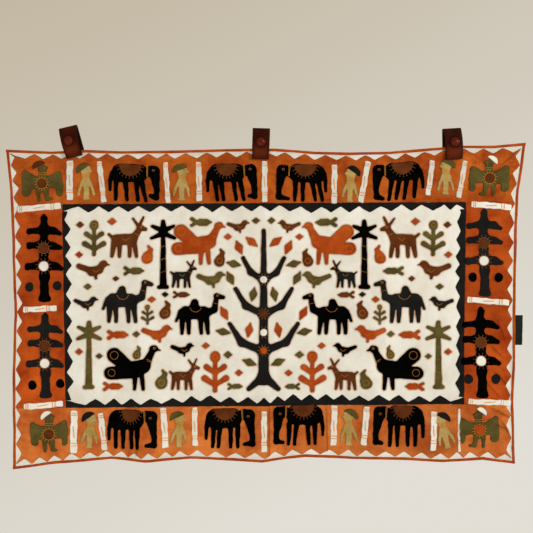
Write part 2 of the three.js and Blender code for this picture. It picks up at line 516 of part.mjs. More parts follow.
// Sheet between two depths that follows the folds, over the whole grid.
function sheetSolid(back, front) {
  const { left, right, bottom, top, columns, rows } = SHEET;
  const positions = [];
  const index = [];
  for (const depth of [back, front]) {
    for (let row = 0; row <= rows; row += 1) {
      for (let column = 0; column <= columns; column += 1) {
        const x = THREE.MathUtils.lerp(left, right, column / columns);
        const z = THREE.MathUtils.lerp(bottom, top, row / rows);
        positions.push(x, depth + foldDepth(x, z), z);
      }
    }
  }
  const wide = columns + 1;
  const layer = wide * (rows + 1);
  const quad = (a, b, c, d) => index.push(a, b, c, a, c, d);
  for (let row = 0; row < rows; row += 1) {
    for (let column = 0; column < columns; column += 1) {
      const a = row * wide + column;
      quad(a, a + wide, a + wide + 1, a + 1);
      quad(layer + a, layer + a + 1, layer + a + wide + 1, layer + a + wide);
    }
  }
  const rim = [];
  for (let column = 0; column < columns; column += 1) rim.push(column);
  for (let row = 0; row < rows; row += 1) rim.push(row * wide + columns);
  for (let column = columns; column > 0; column -= 1) rim.push(rows * wide + column);
  for (let row = rows; row > 0; row -= 1) rim.push(row * wide);
  rim.forEach((corner, place) => {
    const next = rim[(place + 1) % rim.length];
    quad(corner, next, layer + next, layer + corner);
  });
  const geometry = new THREE.BufferGeometry();
  geometry.setAttribute("position", new THREE.Float32BufferAttribute(positions, 3));
  geometry.setIndex(index);
  return solidOf(geometry);
}

const hanging = new THREE.Group();

// Adds a solid to the hanging as a named mesh.
function addSolid(name, solid, finish) {
  const { vertProperties, triVerts } = solid.getMesh();
  const geometry = new THREE.BufferGeometry();
  geometry.setAttribute("position", new THREE.Float32BufferAttribute(vertProperties, 3));
  geometry.setIndex(Array.from(triVerts));
  const mesh = new THREE.Mesh(geometry, new THREE.MeshStandardMaterial({ metalness: 0, ...finish }));
  mesh.name = name;
  hanging.add(mesh);
  return mesh;
}

const bindingSheet = sheetSolid(BINDING_BACK, PATCH_FRONT);
const groundSheet = sheetSolid(GROUND_BACK, GROUND_FRONT);
const patchSheet = sheetSolid(PATCH_BACK, PATCH_FRONT);
const motifSheet = sheetSolid(MOTIF_BACK, MOTIF_FRONT);

// Ground cloth, held all round by the binding.
function addGround() {
  const outline = prismOf(clothOutline(BINDING_WIDTH + GAP));
  addSolid("ground_cloth", groundSheet.intersect(outline), WHITE);
}

// Binding: four strips rolled over the cloth's edge, the side strips between the others.
function addBinding() {
  const outer = corners(0);
  const meet = BINDING_WIDTH + BINDING_CORNER_GAP;
  const strip = (side, from, to) => [
    ...sidePoints(side, 0, from, to),
    ...sidePoints(side, BINDING_WIDTH, to, from),
  ];
  const strips = {
    top: strip("top", outer.topLeft[0], outer.topRight[0]),
    bottom: strip("bottom", outer.bottomLeft[0], outer.bottomRight[0]),
    left: strip("left", outer.topLeft[1] - meet, outer.bottomLeft[1] + meet),
    right: strip("right", outer.topRight[1] - meet, outer.bottomRight[1] + meet),
  };
  for (const [side, points] of Object.entries(strips)) {
    addSolid(`binding_${side}`, bindingSheet.intersect(prismOf(points)), RUST);
  }
}

// Saw tooth edge of the orange border along a part of a side of the cloth.
function bandEdge(name, from, to) {
  const { table, inwards, across } = SIDES[name];
  const { at, depth } = BAND_TEETH[name];
  const inset = BINDING_WIDTH + BAND_CLEAR;
  const notch = (place, index) => inset + depth * (1 + TOOTH_UNEVENNESS * uneven(index));
  const ends = [table[0].at, table.at(-1).at];
  return sawLine(at, notch, () => inset, ends, [from, to]).map(([place, edge]) => {
    const level = edgeAt(table, place) + inwards * edge;
    return across ? [place, level] : [level, place];
  });
}

// Orange bands: the top and bottom ones run the full width, the side ones between them.
function addBands() {
  const outer = corners(BINDING_WIDTH + BAND_CLEAR);
  const { topLeft, topRight, bottomLeft, bottomRight } = FIELD;
  const outlines = {
    top: [
      ...bandEdge("top", outer.topLeft[0], outer.topRight[0]),
      ...bandEdge("right", outer.topRight[1], topRight.z).slice(1),
      [topRight.x, topRight.z],
      [topLeft.x, topLeft.z],
      ...bandEdge("left", topLeft.z, outer.topLeft[1]).slice(0, -1),
    ],
    bottom: [
      ...bandEdge("bottom", outer.bottomRight[0], outer.bottomLeft[0]),
      ...bandEdge("left", outer.bottomLeft[1], bottomLeft.z).slice(1),
      [bottomLeft.x, bottomLeft.z],
      [bottomRight.x, bottomRight.z],
      ...bandEdge("right", bottomRight.z, outer.bottomRight[1]).slice(0, -1),
    ],
    left: [
      ...bandEdge("left", bottomLeft.z + GAP, topLeft.z - GAP),
      [topLeft.x - GAP, topLeft.z - GAP],
      [bottomLeft.x - GAP, bottomLeft.z + GAP],
    ],
    right: [
      ...bandEdge("right", topRight.z - GAP, bottomRight.z + GAP),
      [bottomRight.x + GAP, bottomRight.z + GAP],
      [topRight.x + GAP, topRight.z - GAP],
    ],
  };
  for (const [side, points] of Object.entries(outlines)) {
    addSolid(`band_${side}`, patchSheet.intersect(prismOf(points)), ORANGE);
  }
}

// Edge of the white field, from one corner to the other, and the inward direction.
const FIELD_SIDES = {
  top: { start: FIELD.topLeft, end: FIELD.topRight, inwards: -1, across: true },
  bottom: { start: FIELD.bottomLeft, end: FIELD.bottomRight, inwards: 1, across: true },
  left: { start: FIELD.bottomLeft, end: FIELD.topLeft, inwards: 1, across: false },
  right: { start: FIELD.bottomRight, end: FIELD.topRight, inwards: -1, across: false },
};

// Width of the end of the top and bottom strips, and the clearance of the side ones from it.
const STRIP_END = 17;
const STRIP_CLEAR = 0.6;

// Outline of a charcoal strip: its straight outer edge and its saw tooth inner edge, each
// shortened at both ends.
function stripOutline(name, shorten) {
  const { start, end, inwards, across } = FIELD_SIDES[name];
  const { at, depth, base } = STRIP_TEETH[name];
  const [from, to] = across ? [start.x, end.x] : [start.z, end.z];
  const tip = (place, index = 0) =>
    edgeAt(base, place) + depth * (1 + TOOTH_UNEVENNESS * uneven(index + 3));
  const outer = (place) => {
    const share = (place - from) / (to - from);
    return THREE.MathUtils.lerp(across ? start.z : start.x, across ? end.z : end.x, share);
  };
  const point = (place, inset) => {
    const level = outer(place) + inwards * inset;
    return across ? [place, level] : [level, place];
  };
  const [first, last] = [from + shorten, to - shorten];
  const saw = sawLine(at, (place) => edgeAt(base, place), tip, [from, to], [first, last]);
  const ends = across ? saw.slice(1, -1) : saw;
  return [
    point(last, GAP), point(first, GAP),
    ...(across ? [point(first, STRIP_END)] : []),
    ...ends.map(([place, inset]) => point(place, inset)),
    ...(across ? [point(last, STRIP_END)] : []),
  ];
}

// Charcoal strips round the white field, with teeth that point inwards.
function addSawStrips() {
  for (const side of ["top", "bottom", "left", "right"]) {
    const shorten = FIELD_SIDES[side].across ? 0 : STRIP_END + STRIP_CLEAR;
    const outline = prismOf(stripOutline(side, shorten));
    addSolid(`saw_strip_${side}`, patchSheet.intersect(outline), CHARCOAL);
  }
}

// Distance from a point to a tapered rod, negative inside it.
function rodDistance(rod, x, z) {
  const [alongX, alongZ] = [rod.x1 - rod.x0, rod.z1 - rod.z0];
  const length = alongX * alongX + alongZ * alongZ;
  const share = THREE.MathUtils.clamp(((x - rod.x0) * alongX + (z - rod.z0) * alongZ) / length, 0, 1);
  const away = Math.hypot(x - rod.x0 - share * alongX, z - rod.z0 - share * alongZ);
  return away - THREE.MathUtils.lerp(rod.r0, rod.r1, share);
}

// How far the meetings of the rods are rounded off, and of those with wide round forks.
const MEETING_SOFTNESS = 3;
const FORK_SOFTNESS = 9;
const FORKED = new Set([TREE, TREE_OF_LIFE]);

// Distance to all the rods of a motif, with their meetings rounded off.
function motifDistance(rods, x, z) {
  const soft = FORKED.has(rods) ? FORK_SOFTNESS : MEETING_SOFTNESS;
  return rods.reduce((nearest, rod) => {
    const distance = rodDistance(rod, x, z);
    const overlap = Math.max(soft - Math.abs(nearest - distance), 0) / soft;
    return Math.min(nearest, distance) - overlap * overlap * soft * 0.25;
  }, Infinity);
}

// Outline of a motif: the line of zero distance, followed from cell to cell of a grid.
function traceOutline(rods, cell) {
  const margin = 2 * cell;
  const low = [Infinity, Infinity];
  const high = [-Infinity, -Infinity];
  for (const rod of rods) {
    low[0] = Math.min(low[0], rod.x0 - rod.r0, rod.x1 - rod.r1);
    low[1] = Math.min(low[1], rod.z0 - rod.r0, rod.z1 - rod.r1);
    high[0] = Math.max(high[0], rod.x0 + rod.r0, rod.x1 + rod.r1);
    high[1] = Math.max(high[1], rod.z0 + rod.r0, rod.z1 + rod.r1);
  }
  const columns = Math.ceil((high[0] - low[0] + 2 * margin) / cell);
  const rows = Math.ceil((high[1] - low[1] + 2 * margin) / cell);
  const place = (column, row) => [low[0] - margin + column * cell, low[1] - margin + row * cell];
  const value = (column, row) => motifDistance(rods, ...place(column, row));
  const next = new Map();
  const crossing = new Map();
  for (let row = 0; row < rows; row += 1) {
    for (let column = 0; column < columns; column += 1) {
      const cellCorners = [[column, row], [column + 1, row], [column + 1, row + 1], [column, row + 1]];
      const values = cellCorners.map(([c, r]) => value(c, r));
      const edges = [0, 1, 2, 3].map((edge) => {
        const [a, b] = [cellCorners[edge], cellCorners[(edge + 1) % 4]];
        const key = [a, b].map((corner) => corner.join()).sort().join(" ");
        const share = values[edge] / (values[edge] - values[(edge + 1) % 4]);
        const [from, to] = [place(...a), place(...b)];
        const point = [0, 1].map((axis) => THREE.MathUtils.lerp(from[axis], to[axis], share));
        return { key, point, inside: values[edge] < 0, nextInside: values[(edge + 1) % 4] < 0 };
      });
      edges.forEach((edge, side) => {
        if (!edge.inside || edge.nextInside) return;
        const entry = [1, 2, 3].map((step) => edges[(side + step) % 4])
          .find((other) => !other.inside && other.nextInside);
        next.set(edge.key, entry.key);
        crossing.set(edge.key, edge.point);
      });
    }
  }
  let longest = [];
  while (next.size > 0) {
    let key = next.keys().next().value;
    const loop = [];
    while (next.has(key)) {
      loop.push(crossing.get(key));
      const following = next.get(key);
      next.delete(key);
      key = following;
    }
    if (loop.length > longest.length) longest = loop;
  }
  return longest;
}

// Keeps only the points that an outline needs to stay within a tolerance.
function thinOut(points, tolerance) {
  const keep = (first, last) => {
    const [a, b] = [points[first], points[last % points.length]];
    const length = Math.hypot(b[0] - a[0], b[1] - a[1]) || 1;
    let furthest = first;
    let most = tolerance;
    for (let index = first + 1; index < last; index += 1) {
      const [x, z] = points[index];
      const away = Math.abs((b[0] - a[0]) * (a[1] - z) - (a[0] - x) * (b[1] - a[1])) / length;
      if (away > most) [most, furthest] = [away, index];
    }
    return furthest === first ? [a] : [...keep(first, furthest), ...keep(furthest, last)];
  };
  const half = Math.floor(points.length / 2);
  return [...keep(0, half), ...keep(half, points.length)];
}

const OUTLINE_CELL = 3;
const OUTLINE_TOLERANCE = 1.6;
const outlines = new Map();

// Outline of a motif about its own foot, worked out once for all its copies.
function outlineOf(rods) {
  if (!outlines.has(rods)) {
    outlines.set(rods, thinOut(traceOutline(rods, OUTLINE_CELL), OUTLINE_TOLERANCE));
  }
  return outlines.get(rods);
}

// Adds a cut cloth motif on a layer of the cloth.
function addMotif(name, rods, place, layer, cloth) {
  const turn = THREE.MathUtils.degToRad(place.tilt ?? 0);
  const points = outlineOf(rods).map(([x, z]) => {
    const [across, up] = [x * place.facing * place.size, z * place.size];
    const turned = [
      across * Math.cos(turn) - up * Math.sin(turn),
      across * Math.sin(turn) + up * Math.cos(turn),
    ];
    return [place.x + turned[0], place.z + turned[1]];
  });
  addSolid(name, layer.intersect(prismOf(points)), cloth);
}

// The rods of one elephant: its row's shape with its own trunk end and legs.
function elephantRods(place) {
  const [tipX, tipZ] = place.tip;
  const knee = { x: TRUNK.x, z: TRUNK.kneeHeight, r: TRUNK.kneeRadius };
  const bend = { x: TRUNK.x, z: TRUNK.bendHeight, r: TRUNK.bendRadius };
  const legs = place.legs.map(([belly, foot], index) => ({
    part: LEG_NAMES[index],
    x0: belly, z0: LEG.bellyHeight, r0: LEG.bellyRadius,
    x1: foot, z1: LEG.footHeight, r1: LEG.footRadius,
  }));
  return [
    ...place.rods,
    { part: "lower trunk", x0: knee.x, z0: knee.z, r0: knee.r, x1: bend.x, z1: bend.z, r1: bend.r },
    { part: "trunk tip", x0: bend.x, z0: bend.z, r0: bend.r, x1: tipX, z1: tipZ, r1: TRUNK.tipRadius },
    ...legs,
  ];
}

// Motifs sewn on the orange border.
function addBorderMotifs() {
  for (const place of BORDER_ELEPHANTS) {
    addMotif(`elephant_${place.name}`, elephantRods(place), place, motifSheet, BLACK);
  }
  for (const place of BORDER_FIGURES) {
    addMotif(`figure_${place.name}`, FIGURE, place, motifSheet, CREAM);
  }
  for (const place of BORDER_BIRDS) {
    addMotif(`bird_${place.name}`, place.rods, place, motifSheet, OLIVE);
  }
  for (const place of BORDER_TREES) {
    addMotif(`tree_${place.name}`, TREE, place, motifSheet, place.cloth);
  }
}

// Motifs sewn on the white field.
function addFieldMotifs() {
  addMotif("field_tree", TREE_OF_LIFE, FIELD_TREE, patchSheet, CHARCOAL);
  for (const pair of FIELD_PAIRS) {
    for (const [side, sign] of [["left", -1], ["right", 1]]) {
      const place = { x: FIELD_CENTRE + sign * pair.out, z: pair.z, facing: -sign, size: pair.size };
      addMotif(`field_${pair.name}_${side}`, pair.rods, place, patchSheet, pair.cloth);
    }
  }
}

// Bare tab sewn behind the right edge.
function addTab() {
  const back = BINDING_BACK + GAP + TAB.thickness;
  const outline = [
    [TAB.inner, TAB.top], [TAB.outer, TAB.top],
    [TAB.outer - TAB.taper, TAB.bottom], [TAB.inner, TAB.bottom],
  ];
  addSolid("label_tab", sheetSolid(back, back - TAB.thickness).intersect(prismOf(outline)), DARK_GREEN);
}

// Section of a folded strap in y and z: a back leaf on the wall, a round fold at the top
// and a front leaf, round the space that holds the cloth's edge.
function strapSection() {
  const middle = STRAP_FRONT / 2;
  const outerRadius = -STRAP_FRONT / 2;
  const innerRadius = outerRadius - LEATHER;
  const centre = STRAP_ABOVE_STUD - outerRadius;
  const section = new THREE.Shape();
  const leafLine = (y, from, to) => {
    for (let step = 0; step <= STRAP_LEAF_STEPS; step += 1) {
      section.lineTo(y, THREE.MathUtils.lerp(from, to, step / STRAP_LEAF_STEPS));
    }
  };
  section.moveTo(0, -STRAP_BELOW_STUD);
  leafLine(0, -STRAP_BELOW_STUD, centre);
  section.absarc(middle, centre, outerRadius, 0, Math.PI, false);
  leafLine(STRAP_FRONT, centre, -STRAP_BELOW_STUD);
  leafLine(STRAP_INNER, -STRAP_BELOW_STUD, centre);
  section.absarc(middle, centre, innerRadius, Math.PI, 0, true);
  leafLine(-LEATHER, centre, -STRAP_BELOW_STUD);
  section.closePath();
  return section;
}

// Straps and their studs. Each strap narrows downwards and leans about its stud.
function addStraps() {
  const section = strapSection();
  for (const strap of STRAPS) {
    const body = new THREE.ExtrudeGeometry(section, { depth: 1, bevelEnabled: false, curveSegments: 6 });
    const position = body.attributes.position;
    const height = STRAP_ABOVE_STUD + STRAP_BELOW_STUD;
    for (let index = 0; index < position.count; index += 1) {
      const [y, z, side] = [position.getX(index), position.getY(index), position.getZ(index)];
      const share = (STRAP_ABOVE_STUD - z) / height;
      const width = THREE.MathUtils.lerp(strap.top, strap.bottom, share);
      const drift = y < STRAP_FRONT / 2 ? strap.bow * Math.sin(Math.PI * share) : strap.back * share;
      position.setXYZ(index, (side - 0.5) * width + strap.offset + drift, y, z);
    }
    const hole = new THREE.CylinderGeometry(STUD.shank + GAP, STUD.shank + GAP, 2 * LEATHER, STUD.around);
    hole.translate(0, STRAP_FRONT, 0);
    const leaf = solidOf(body).subtract(solidOf(hole));
    const mesh = addSolid(`strap_${strap.name}`, leaf, BROWN_LEATHER);
    mesh.position.set(strap.x, 0, strap.z);
    mesh.rotation.y = -THREE.MathUtils.degToRad(strap.lean);
    const stud = addSolid(`stud_${strap.name}`, solidOf(studGeometry()), RED_STUD);
    stud.position.set(strap.x, 0, strap.z);
  }
}

// Stud: a domed head in front of the strap and a shank that stops against the back leaf.
function studGeometry() {
  const face = STRAP_FRONT - GAP;
  const end = -(LEATHER + GAP);
  const { radius, height, shank, around, up } = STUD;
  const rim = 1;
  const profile = [[0, -end], [shank, -end], [shank, -face], [radius - rim, -face]];
  for (let step = 0; step <= up; step += 1) {
    const angle = (step / up) * Math.PI * 0.5;
    const across = step === up ? 0 : radius * Math.cos(angle);
    profile.push([across, -face + rim + (height - rim) * Math.sin(angle)]);
  }
  const stud = new THREE.LatheGeometry(profile.map(([r, y]) => new THREE.Vector2(r, y)), around);
  stud.rotateX(Math.PI);
  return stud;
}

addGround();
addBinding();
addBands();
addSawStrips();
addBorderMotifs();
addFieldMotifs();
addTab();
addStraps();

export default hanging;
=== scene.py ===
"""Applique wall hanging with leather hanging straps, dressed for rendering.

Lengths in the tables are millimetres and are turned into metres where a mesh is made.
+X runs to the right along the cloth, +Y into the wall and +Z up. The origin is on the
wall plane, behind the stud of the middle strap.
"""

from __future__ import annotations

import logging
import math
from dataclasses import dataclass, field, replace
from enum import Enum
from typing import Callable, Iterable, Sequence

import bmesh
import bpy
import numpy as np
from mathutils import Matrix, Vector
from mathutils.geometry import delaunay_2d_cdt

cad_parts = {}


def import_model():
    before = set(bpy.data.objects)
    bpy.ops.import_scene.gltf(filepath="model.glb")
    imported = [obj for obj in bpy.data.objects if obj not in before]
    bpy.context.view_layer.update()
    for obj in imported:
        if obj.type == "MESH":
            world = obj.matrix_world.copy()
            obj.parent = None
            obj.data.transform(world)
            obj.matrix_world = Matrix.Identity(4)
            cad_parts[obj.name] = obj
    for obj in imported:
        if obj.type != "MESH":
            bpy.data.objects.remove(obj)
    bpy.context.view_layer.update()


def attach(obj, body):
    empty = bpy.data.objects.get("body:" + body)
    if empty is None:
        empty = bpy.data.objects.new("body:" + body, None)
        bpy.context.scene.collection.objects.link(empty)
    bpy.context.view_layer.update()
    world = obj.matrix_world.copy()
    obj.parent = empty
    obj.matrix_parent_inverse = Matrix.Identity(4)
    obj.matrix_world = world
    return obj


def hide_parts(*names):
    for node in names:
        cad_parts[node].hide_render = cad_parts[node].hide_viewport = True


LOG = logging.getLogger("wall_hanging")
MM = 0.001
Array = np.ndarray
Colour = tuple[int, int, int]
Point = tuple[float, float]
Socket = bpy.types.NodeSocket


def srgb(colour: Colour) -> tuple[float, float, float, float]:
    """Turns a colour as seen, 0 to 255, into a linear one.

    Args:
        colour: red, green and blue.

    Returns:
        Linear red, green, blue and an alpha of one.
    """
    linear = []
    for value in colour:
        share = value / 255
        linear.append(share / 12.92 if share <= 0.04045 else ((share + 0.055) / 1.055) ** 2.4)
    return (*linear, 1.0)


def ease(low: float, high: float, value: Array) -> Array:
    """Rises smoothly from 0 at low to 1 at high, also where low is above high."""
    share = np.clip((value - low) / (high - low), 0, 1)
    return share * share * (3 - 2 * share)


# Cloth layers


@dataclass(frozen=True)
class Layers:
    """Depths of the layers, negative towards the viewer."""

    wall_leaf: float = 3.0
    binding_back: float = -3.3
    ground_back: float = -3.8
    ground_front: float = -5.0
    patch_back: float = -5.3
    patch_front: float = -6.3
    motif_back: float = -6.6
    motif_front: float = -7.6
    trim_back: float = -7.65
    strap_front: float = -10.9


LAYERS = Layers()


@dataclass(frozen=True)
class Fold:
    """A soft vertical fold: a ridge stands forward and a hollow goes back."""

    name: str
    x: float
    lean: float
    width: float
    forward: float
    start: float


@dataclass(frozen=True)
class Crease:
    """A short soft crease between two points, a ridge or, if negative, a trough."""

    name: str
    x0: float
    z0: float
    x1: float
    z1: float
    width: float
    forward: float

    def bend(self, run: Array) -> Array:
        """How far the crease wanders sideways along its run."""
        return 0.12 * self.width * np.sin(run / (2.2 * self.width))

    def measure(self, x: Array, z: Array) -> tuple[Array, Array]:
        """Distance of places from the crease's line, and how strong it is there.

        Args:
            x: places along the cloth.
            z: heights.

        Returns:
            The distance sideways and the strength, which fades at both ends.
        """
        along = np.array([self.x1 - self.x0, self.z1 - self.z0], float)
        length = float(np.hypot(*along))
        along /= length
        run = (x - self.x0) * along[0] + (z - self.z0) * along[1]
        side = (x - self.x0) * along[1] - (z - self.z0) * along[0]
        ends = ease(-0.25 * length, 0.25 * length, run) * ease(1.25 * length, 0.75 * length, run)
        return side + self.bend(run), ends


SHARP = 1.3
# Painted shade in the sharp creases: its width, its strength and the darkest it gets.
CREASE_SHADE_WIDTH = 1.9
CREASE_SHADE_STRENGTH = 0.25
DARKEST_CREASE_SHADE = 0.4
FOLDS = (
    Fold("left border swell", -520, 0.02, 60, 4, -150),
    Fold("left storage crease", -288, -0.03, 42, 5, -80),
    Fold("left hollow", -140, 0.04, 70, -2, -200),
    Fold("centre storage crease", 10, 0, 30, 5, -120),
    Fold("right hollow", 150, -0.05, 70, -2, -180),
    Fold("right storage crease", 288, 0.03, 42, 5, -80),
    Fold("lower right swell", 545, 0.06, 50, 7, -380),
)

CREASES = (
    Crease("centre line, top band", 12, -40, 10, -142, 3.5, -0.9),
    Crease("centre line, field", 10, -150, 8, -600, 4, 1.1),
    Crease("centre line, bottom band", 20, -618, 20, -740, 2.4, 2.4),
    Crease("right line, bottom band", 154, -622, 157, -735, 2.6, 2.2),
    Crease("left line, bottom band", -286, -626, -288, -742, 2.6, 1.7),
    Crease("right line, field", 290, -170, 292, -600, 5, 0.9),
    Crease("left line, field", -290, -170, -286, -610, 5, 0.9),
    Crease("top band ripple", 128, -46, 196, -49, 3, 0.9),
    Crease("top band hollow", 226, -60, 330, -54, 5, -0.9),
    Crease("top right corner", 600, -22, 556, -64, 4, 1.4),
    Crease("top left corner", -590, -30, -560, -72, 5, 1.0),
    Crease("right pucker one", 540, -478, 566, -504, 4, 1.8),
    Crease("right pucker two", 532, -516, 572, -536, 4, -1.8),
    Crease("right pucker three", 548, -540, 586, -578, 4, 2.2),
    Crease("right pucker four", 530, -566, 562, -600, 4, 1.7),
    Crease("right pucker five", 566, -592, 578, -634, 4, -1.9),
    Crease("right pucker six", 538, -622, 586, -646, 4, 2.0),
    Crease("right pucker seven", 556, -420, 572, -462, 4, 1.5),
    Crease("right pucker eight", 574, -500, 584, -546, 4, -1.6),
    Crease("right pucker nine", 548, -660, 584, -676, 4, 1.7),
    Crease("right pucker ten", 566, -690, 590, -724, 4, -1.6),
    Crease("lower right pull", 560, -650, 590, -700, 5, 2.0),
    Crease("lower right hollow", 530, -660, 556, -716, 6, -1.9),
    Crease("left side pull", -566, -300, -536, -352, 5, 0.8),
    Crease("left side hollow", -556, -470, -530, -540, 6, -0.9),
    Crease("lower left pull", -556, -650, -506, -700, 6, 1.0),
    Crease("lower left hollow", -470, -700, -420, -738, 5, -0.9),
    Crease("bottom band pull", -150, -650, -120, -720, 5, 0.9),
    Crease("bottom band slant", 236, -668, 262, -676, 3, 1.0),
    Crease("field pull one", -60, -200, -30, -330, 7, 0.7),
    Crease("field pull two", 250, -330, 300, -470, 8, -0.7),
    Crease("field pull three", -380, -300, -350, -470, 8, 0.7),
)


@dataclass(frozen=True)
class Drape:
    """How far the cloth stands from its flat plane at each point."""

    fade: float = 260
    held_from: float = -45
    held_to: float = -200
    hem_lift: float = 6
    hem_from: float = -450
    hem_to: float = -760
    seed: int = 11
    ripple_waves: int = 16
    ripple_low: float = 55
    ripple_high: float = 190
    ripple_size: float = 0.34
    pucker_waves: int = 24
    pucker_low: float = 13
    pucker_high: float = 34
    pucker_size: float = 0.075
    held_share: float = 0.35
    furthest_back: float = -2.6

    def waves(self, count: int, low: float, high: float, size: float, shift: int) -> Array:
        """Makes seeded waves: across, up, phase and height of each.

        Args:
            count: number of waves.
            low: shortest wave.
            high: longest wave.
            size: mean height of a wave.
            shift: added to the seed, so that two sets differ.

        Returns:
            One row for each wave.
        """
        draw = np.random.default_rng(self.seed + shift)
        turn = draw.uniform(0, math.tau, count)
        pitch = math.tau / draw.uniform(low, high, count)
        phase = draw.uniform(0, math.tau, count)
        height = size * draw.uniform(0.6, 1.4, count)
        return np.stack([np.cos(turn) * pitch, np.sin(turn) * pitch, phase, height], axis=1)

    def depth(self, x: Array, z: Array) -> Array:
        """Depth of the cloth, negative towards the viewer.

        Args:
            x: places along the cloth.
            z: heights.

        Returns:
            The depth at each place.
        """
        free = ease(self.held_from, self.held_to, z)
        forward = self.hem_lift * ease(self.hem_from, self.hem_to, z)
        for fold in FOLDS:
            across = (x - fold.x - fold.lean * z) / fold.width
            forward = forward + fold.forward * np.exp(-across * across) * ease(
                fold.start, fold.start - self.fade, z
            )
        forward = forward * free
        for crease in CREASES:
            forward = forward + self.crease_height(crease, x, z)
        soft = self.held_share + (1 - self.held_share) * free
        sets = (
            self.waves(self.ripple_waves, self.ripple_low, self.ripple_high, self.ripple_size, 0),
            self.waves(self.pucker_waves, self.pucker_low, self.pucker_high, self.pucker_size, 1),
        )
        for wave_set in sets:
            for across, up, phase, height in wave_set:
                forward = forward + soft * height * np.sin(across * x + up * z + phase)
        return -np.maximum(forward, self.furthest_back)

    @staticmethod
    def crease_height(crease: Crease, x: Array, z: Array) -> Array:
        """Height of one crease: a soft bell across it that fades at its ends."""
        side, ends = crease.measure(x, z)
        return crease.forward * ends * np.exp(-((side / crease.width) ** 2))

    @staticmethod
    def crease_shade(x: Array, z: Array) -> Array:
        """Painted shade along the cloth's sharp creases, which darkens the cloth in them.

        Args:
            x: places along the cloth.
            z: heights.

        Returns:
            The brightness at each place.
        """
        shade = np.ones(np.shape(x))
        for crease in CREASES:
            if crease.forward >= SHARP:
                side, ends = crease.measure(x, z)
                line = ends * np.exp(-((side / CREASE_SHADE_WIDTH) ** 2))
                shade = shade - CREASE_SHADE_STRENGTH * crease.forward * line
        return np.maximum(shade, DARKEST_CREASE_SHADE)

    @staticmethod
    def crease_points(step: float) -> Array:
        """Points along and beside the sharp creases, which keep them sharp in a mesh.

        Args:
            step: distance between points.

        Returns:
            One row of x and z for each point.
        """
        found = []
        for crease in CREASES:
            if crease.forward < SHARP:
                continue
            start = np.array([crease.x0, crease.z0], float)
            along = np.array([crease.x1, crease.z1]) - start
            length = float(np.hypot(*along))
            along = along / length
            across = np.array([along[1], -along[0]])
            run = np.arange(-0.1 * length, 1.1 * length, step)
            bend = crease.bend(run)
            for offset in (-0.9, 0.0, 0.9):
                shift = offset * crease.width - bend
                found.append(start + run[:, None] * along + shift[:, None] * across)
        return np.vstack(found)


DRAPE = Drape()


# Outline of the cloth


@dataclass(frozen=True)
class Side:
    """One side of the cloth: where its edge lies at places along it."""

    at: tuple[float, ...]
    edge: tuple[float, ...]
    inwards: int
    across: bool

    def edge_at(self, place: Array | float) -> Array:
        """Edge of the cloth at places along the side."""
        order = np.argsort(self.at)
        return np.interp(place, np.array(self.at, float)[order], np.array(self.edge, float)[order])

    def point(self, place: float, inset: float) -> Point:
        """A point of the side, moved inwards by inset."""
        edge = float(self.edge_at(place)) + self.inwards * inset
        return (place, edge) if self.across else (edge, place)


SIDES = {
    "top": Side(
        (-598, -492, -411, -329, -189, -37, 33, 127, 209, 304, 396, 477, 548, 622),
        (-17, -22, -18, -21, -19, -15, -15, -22, -24, -22, -14, -8, -8, -1),
        -1,
        True,
    ),
    "bottom": Side(
        (-578, -481, -348, -270, -165, 3, 104, 213, 279, 424, 517, 594),
        (-765, -753, -742, -749, -742, -749, -737, -742, -742, -749, -742, -753),
        1,
        True,
    ),
    "left": Side(
        (-765, -674, -534, -407, -332, -225, -113, -17),
        (-578, -579, -581, -577, -580, -583, -588, -598),
        1,
        False,
    ),
    "right": Side(
        (-752, -604, -500, -300, -206, -113, -57, 0),
        (594, 592, 597, 599, 601, 606, 615, 622),
        -1,
        False,
    ),
}

FIELD = {
    "top_left": (-466.0, -146.0),
    "top_right": (482.0, -141.0),
    "bottom_right": (475.0, -613.0),
    "bottom_left": (-457.0, -622.0),
}
BINDING_WIDTH = 6.3


def corner(down: str, across: str, inset: float) -> Point:
    """Corner of the cloth's outline, moved inwards.

    Args:
        down: left or right.
        across: top or bottom.
        inset: distance inwards.

    Returns:
        The corner's x and z.
    """
    upright, level = SIDES[down], SIDES[across]
    x, z = (level.at[0 if down == "left" else -1], level.edge[0 if down == "left" else -1])
    for _ in range(4):
        x = float(upright.edge_at(z)) + upright.inwards * inset
        z = float(level.edge_at(x)) + level.inwards * inset
    return x, z


def uneven(index: int) -> float:
    """Slight hand cut unevenness, the same on each run."""
    return math.sin(index * 2.3 + 0.7) * 0.6 + math.sin(index * 5.1) * 0.4


TOOTH_UNEVENNESS = 0.1
BAND_INSET = BINDING_WIDTH + 0.5


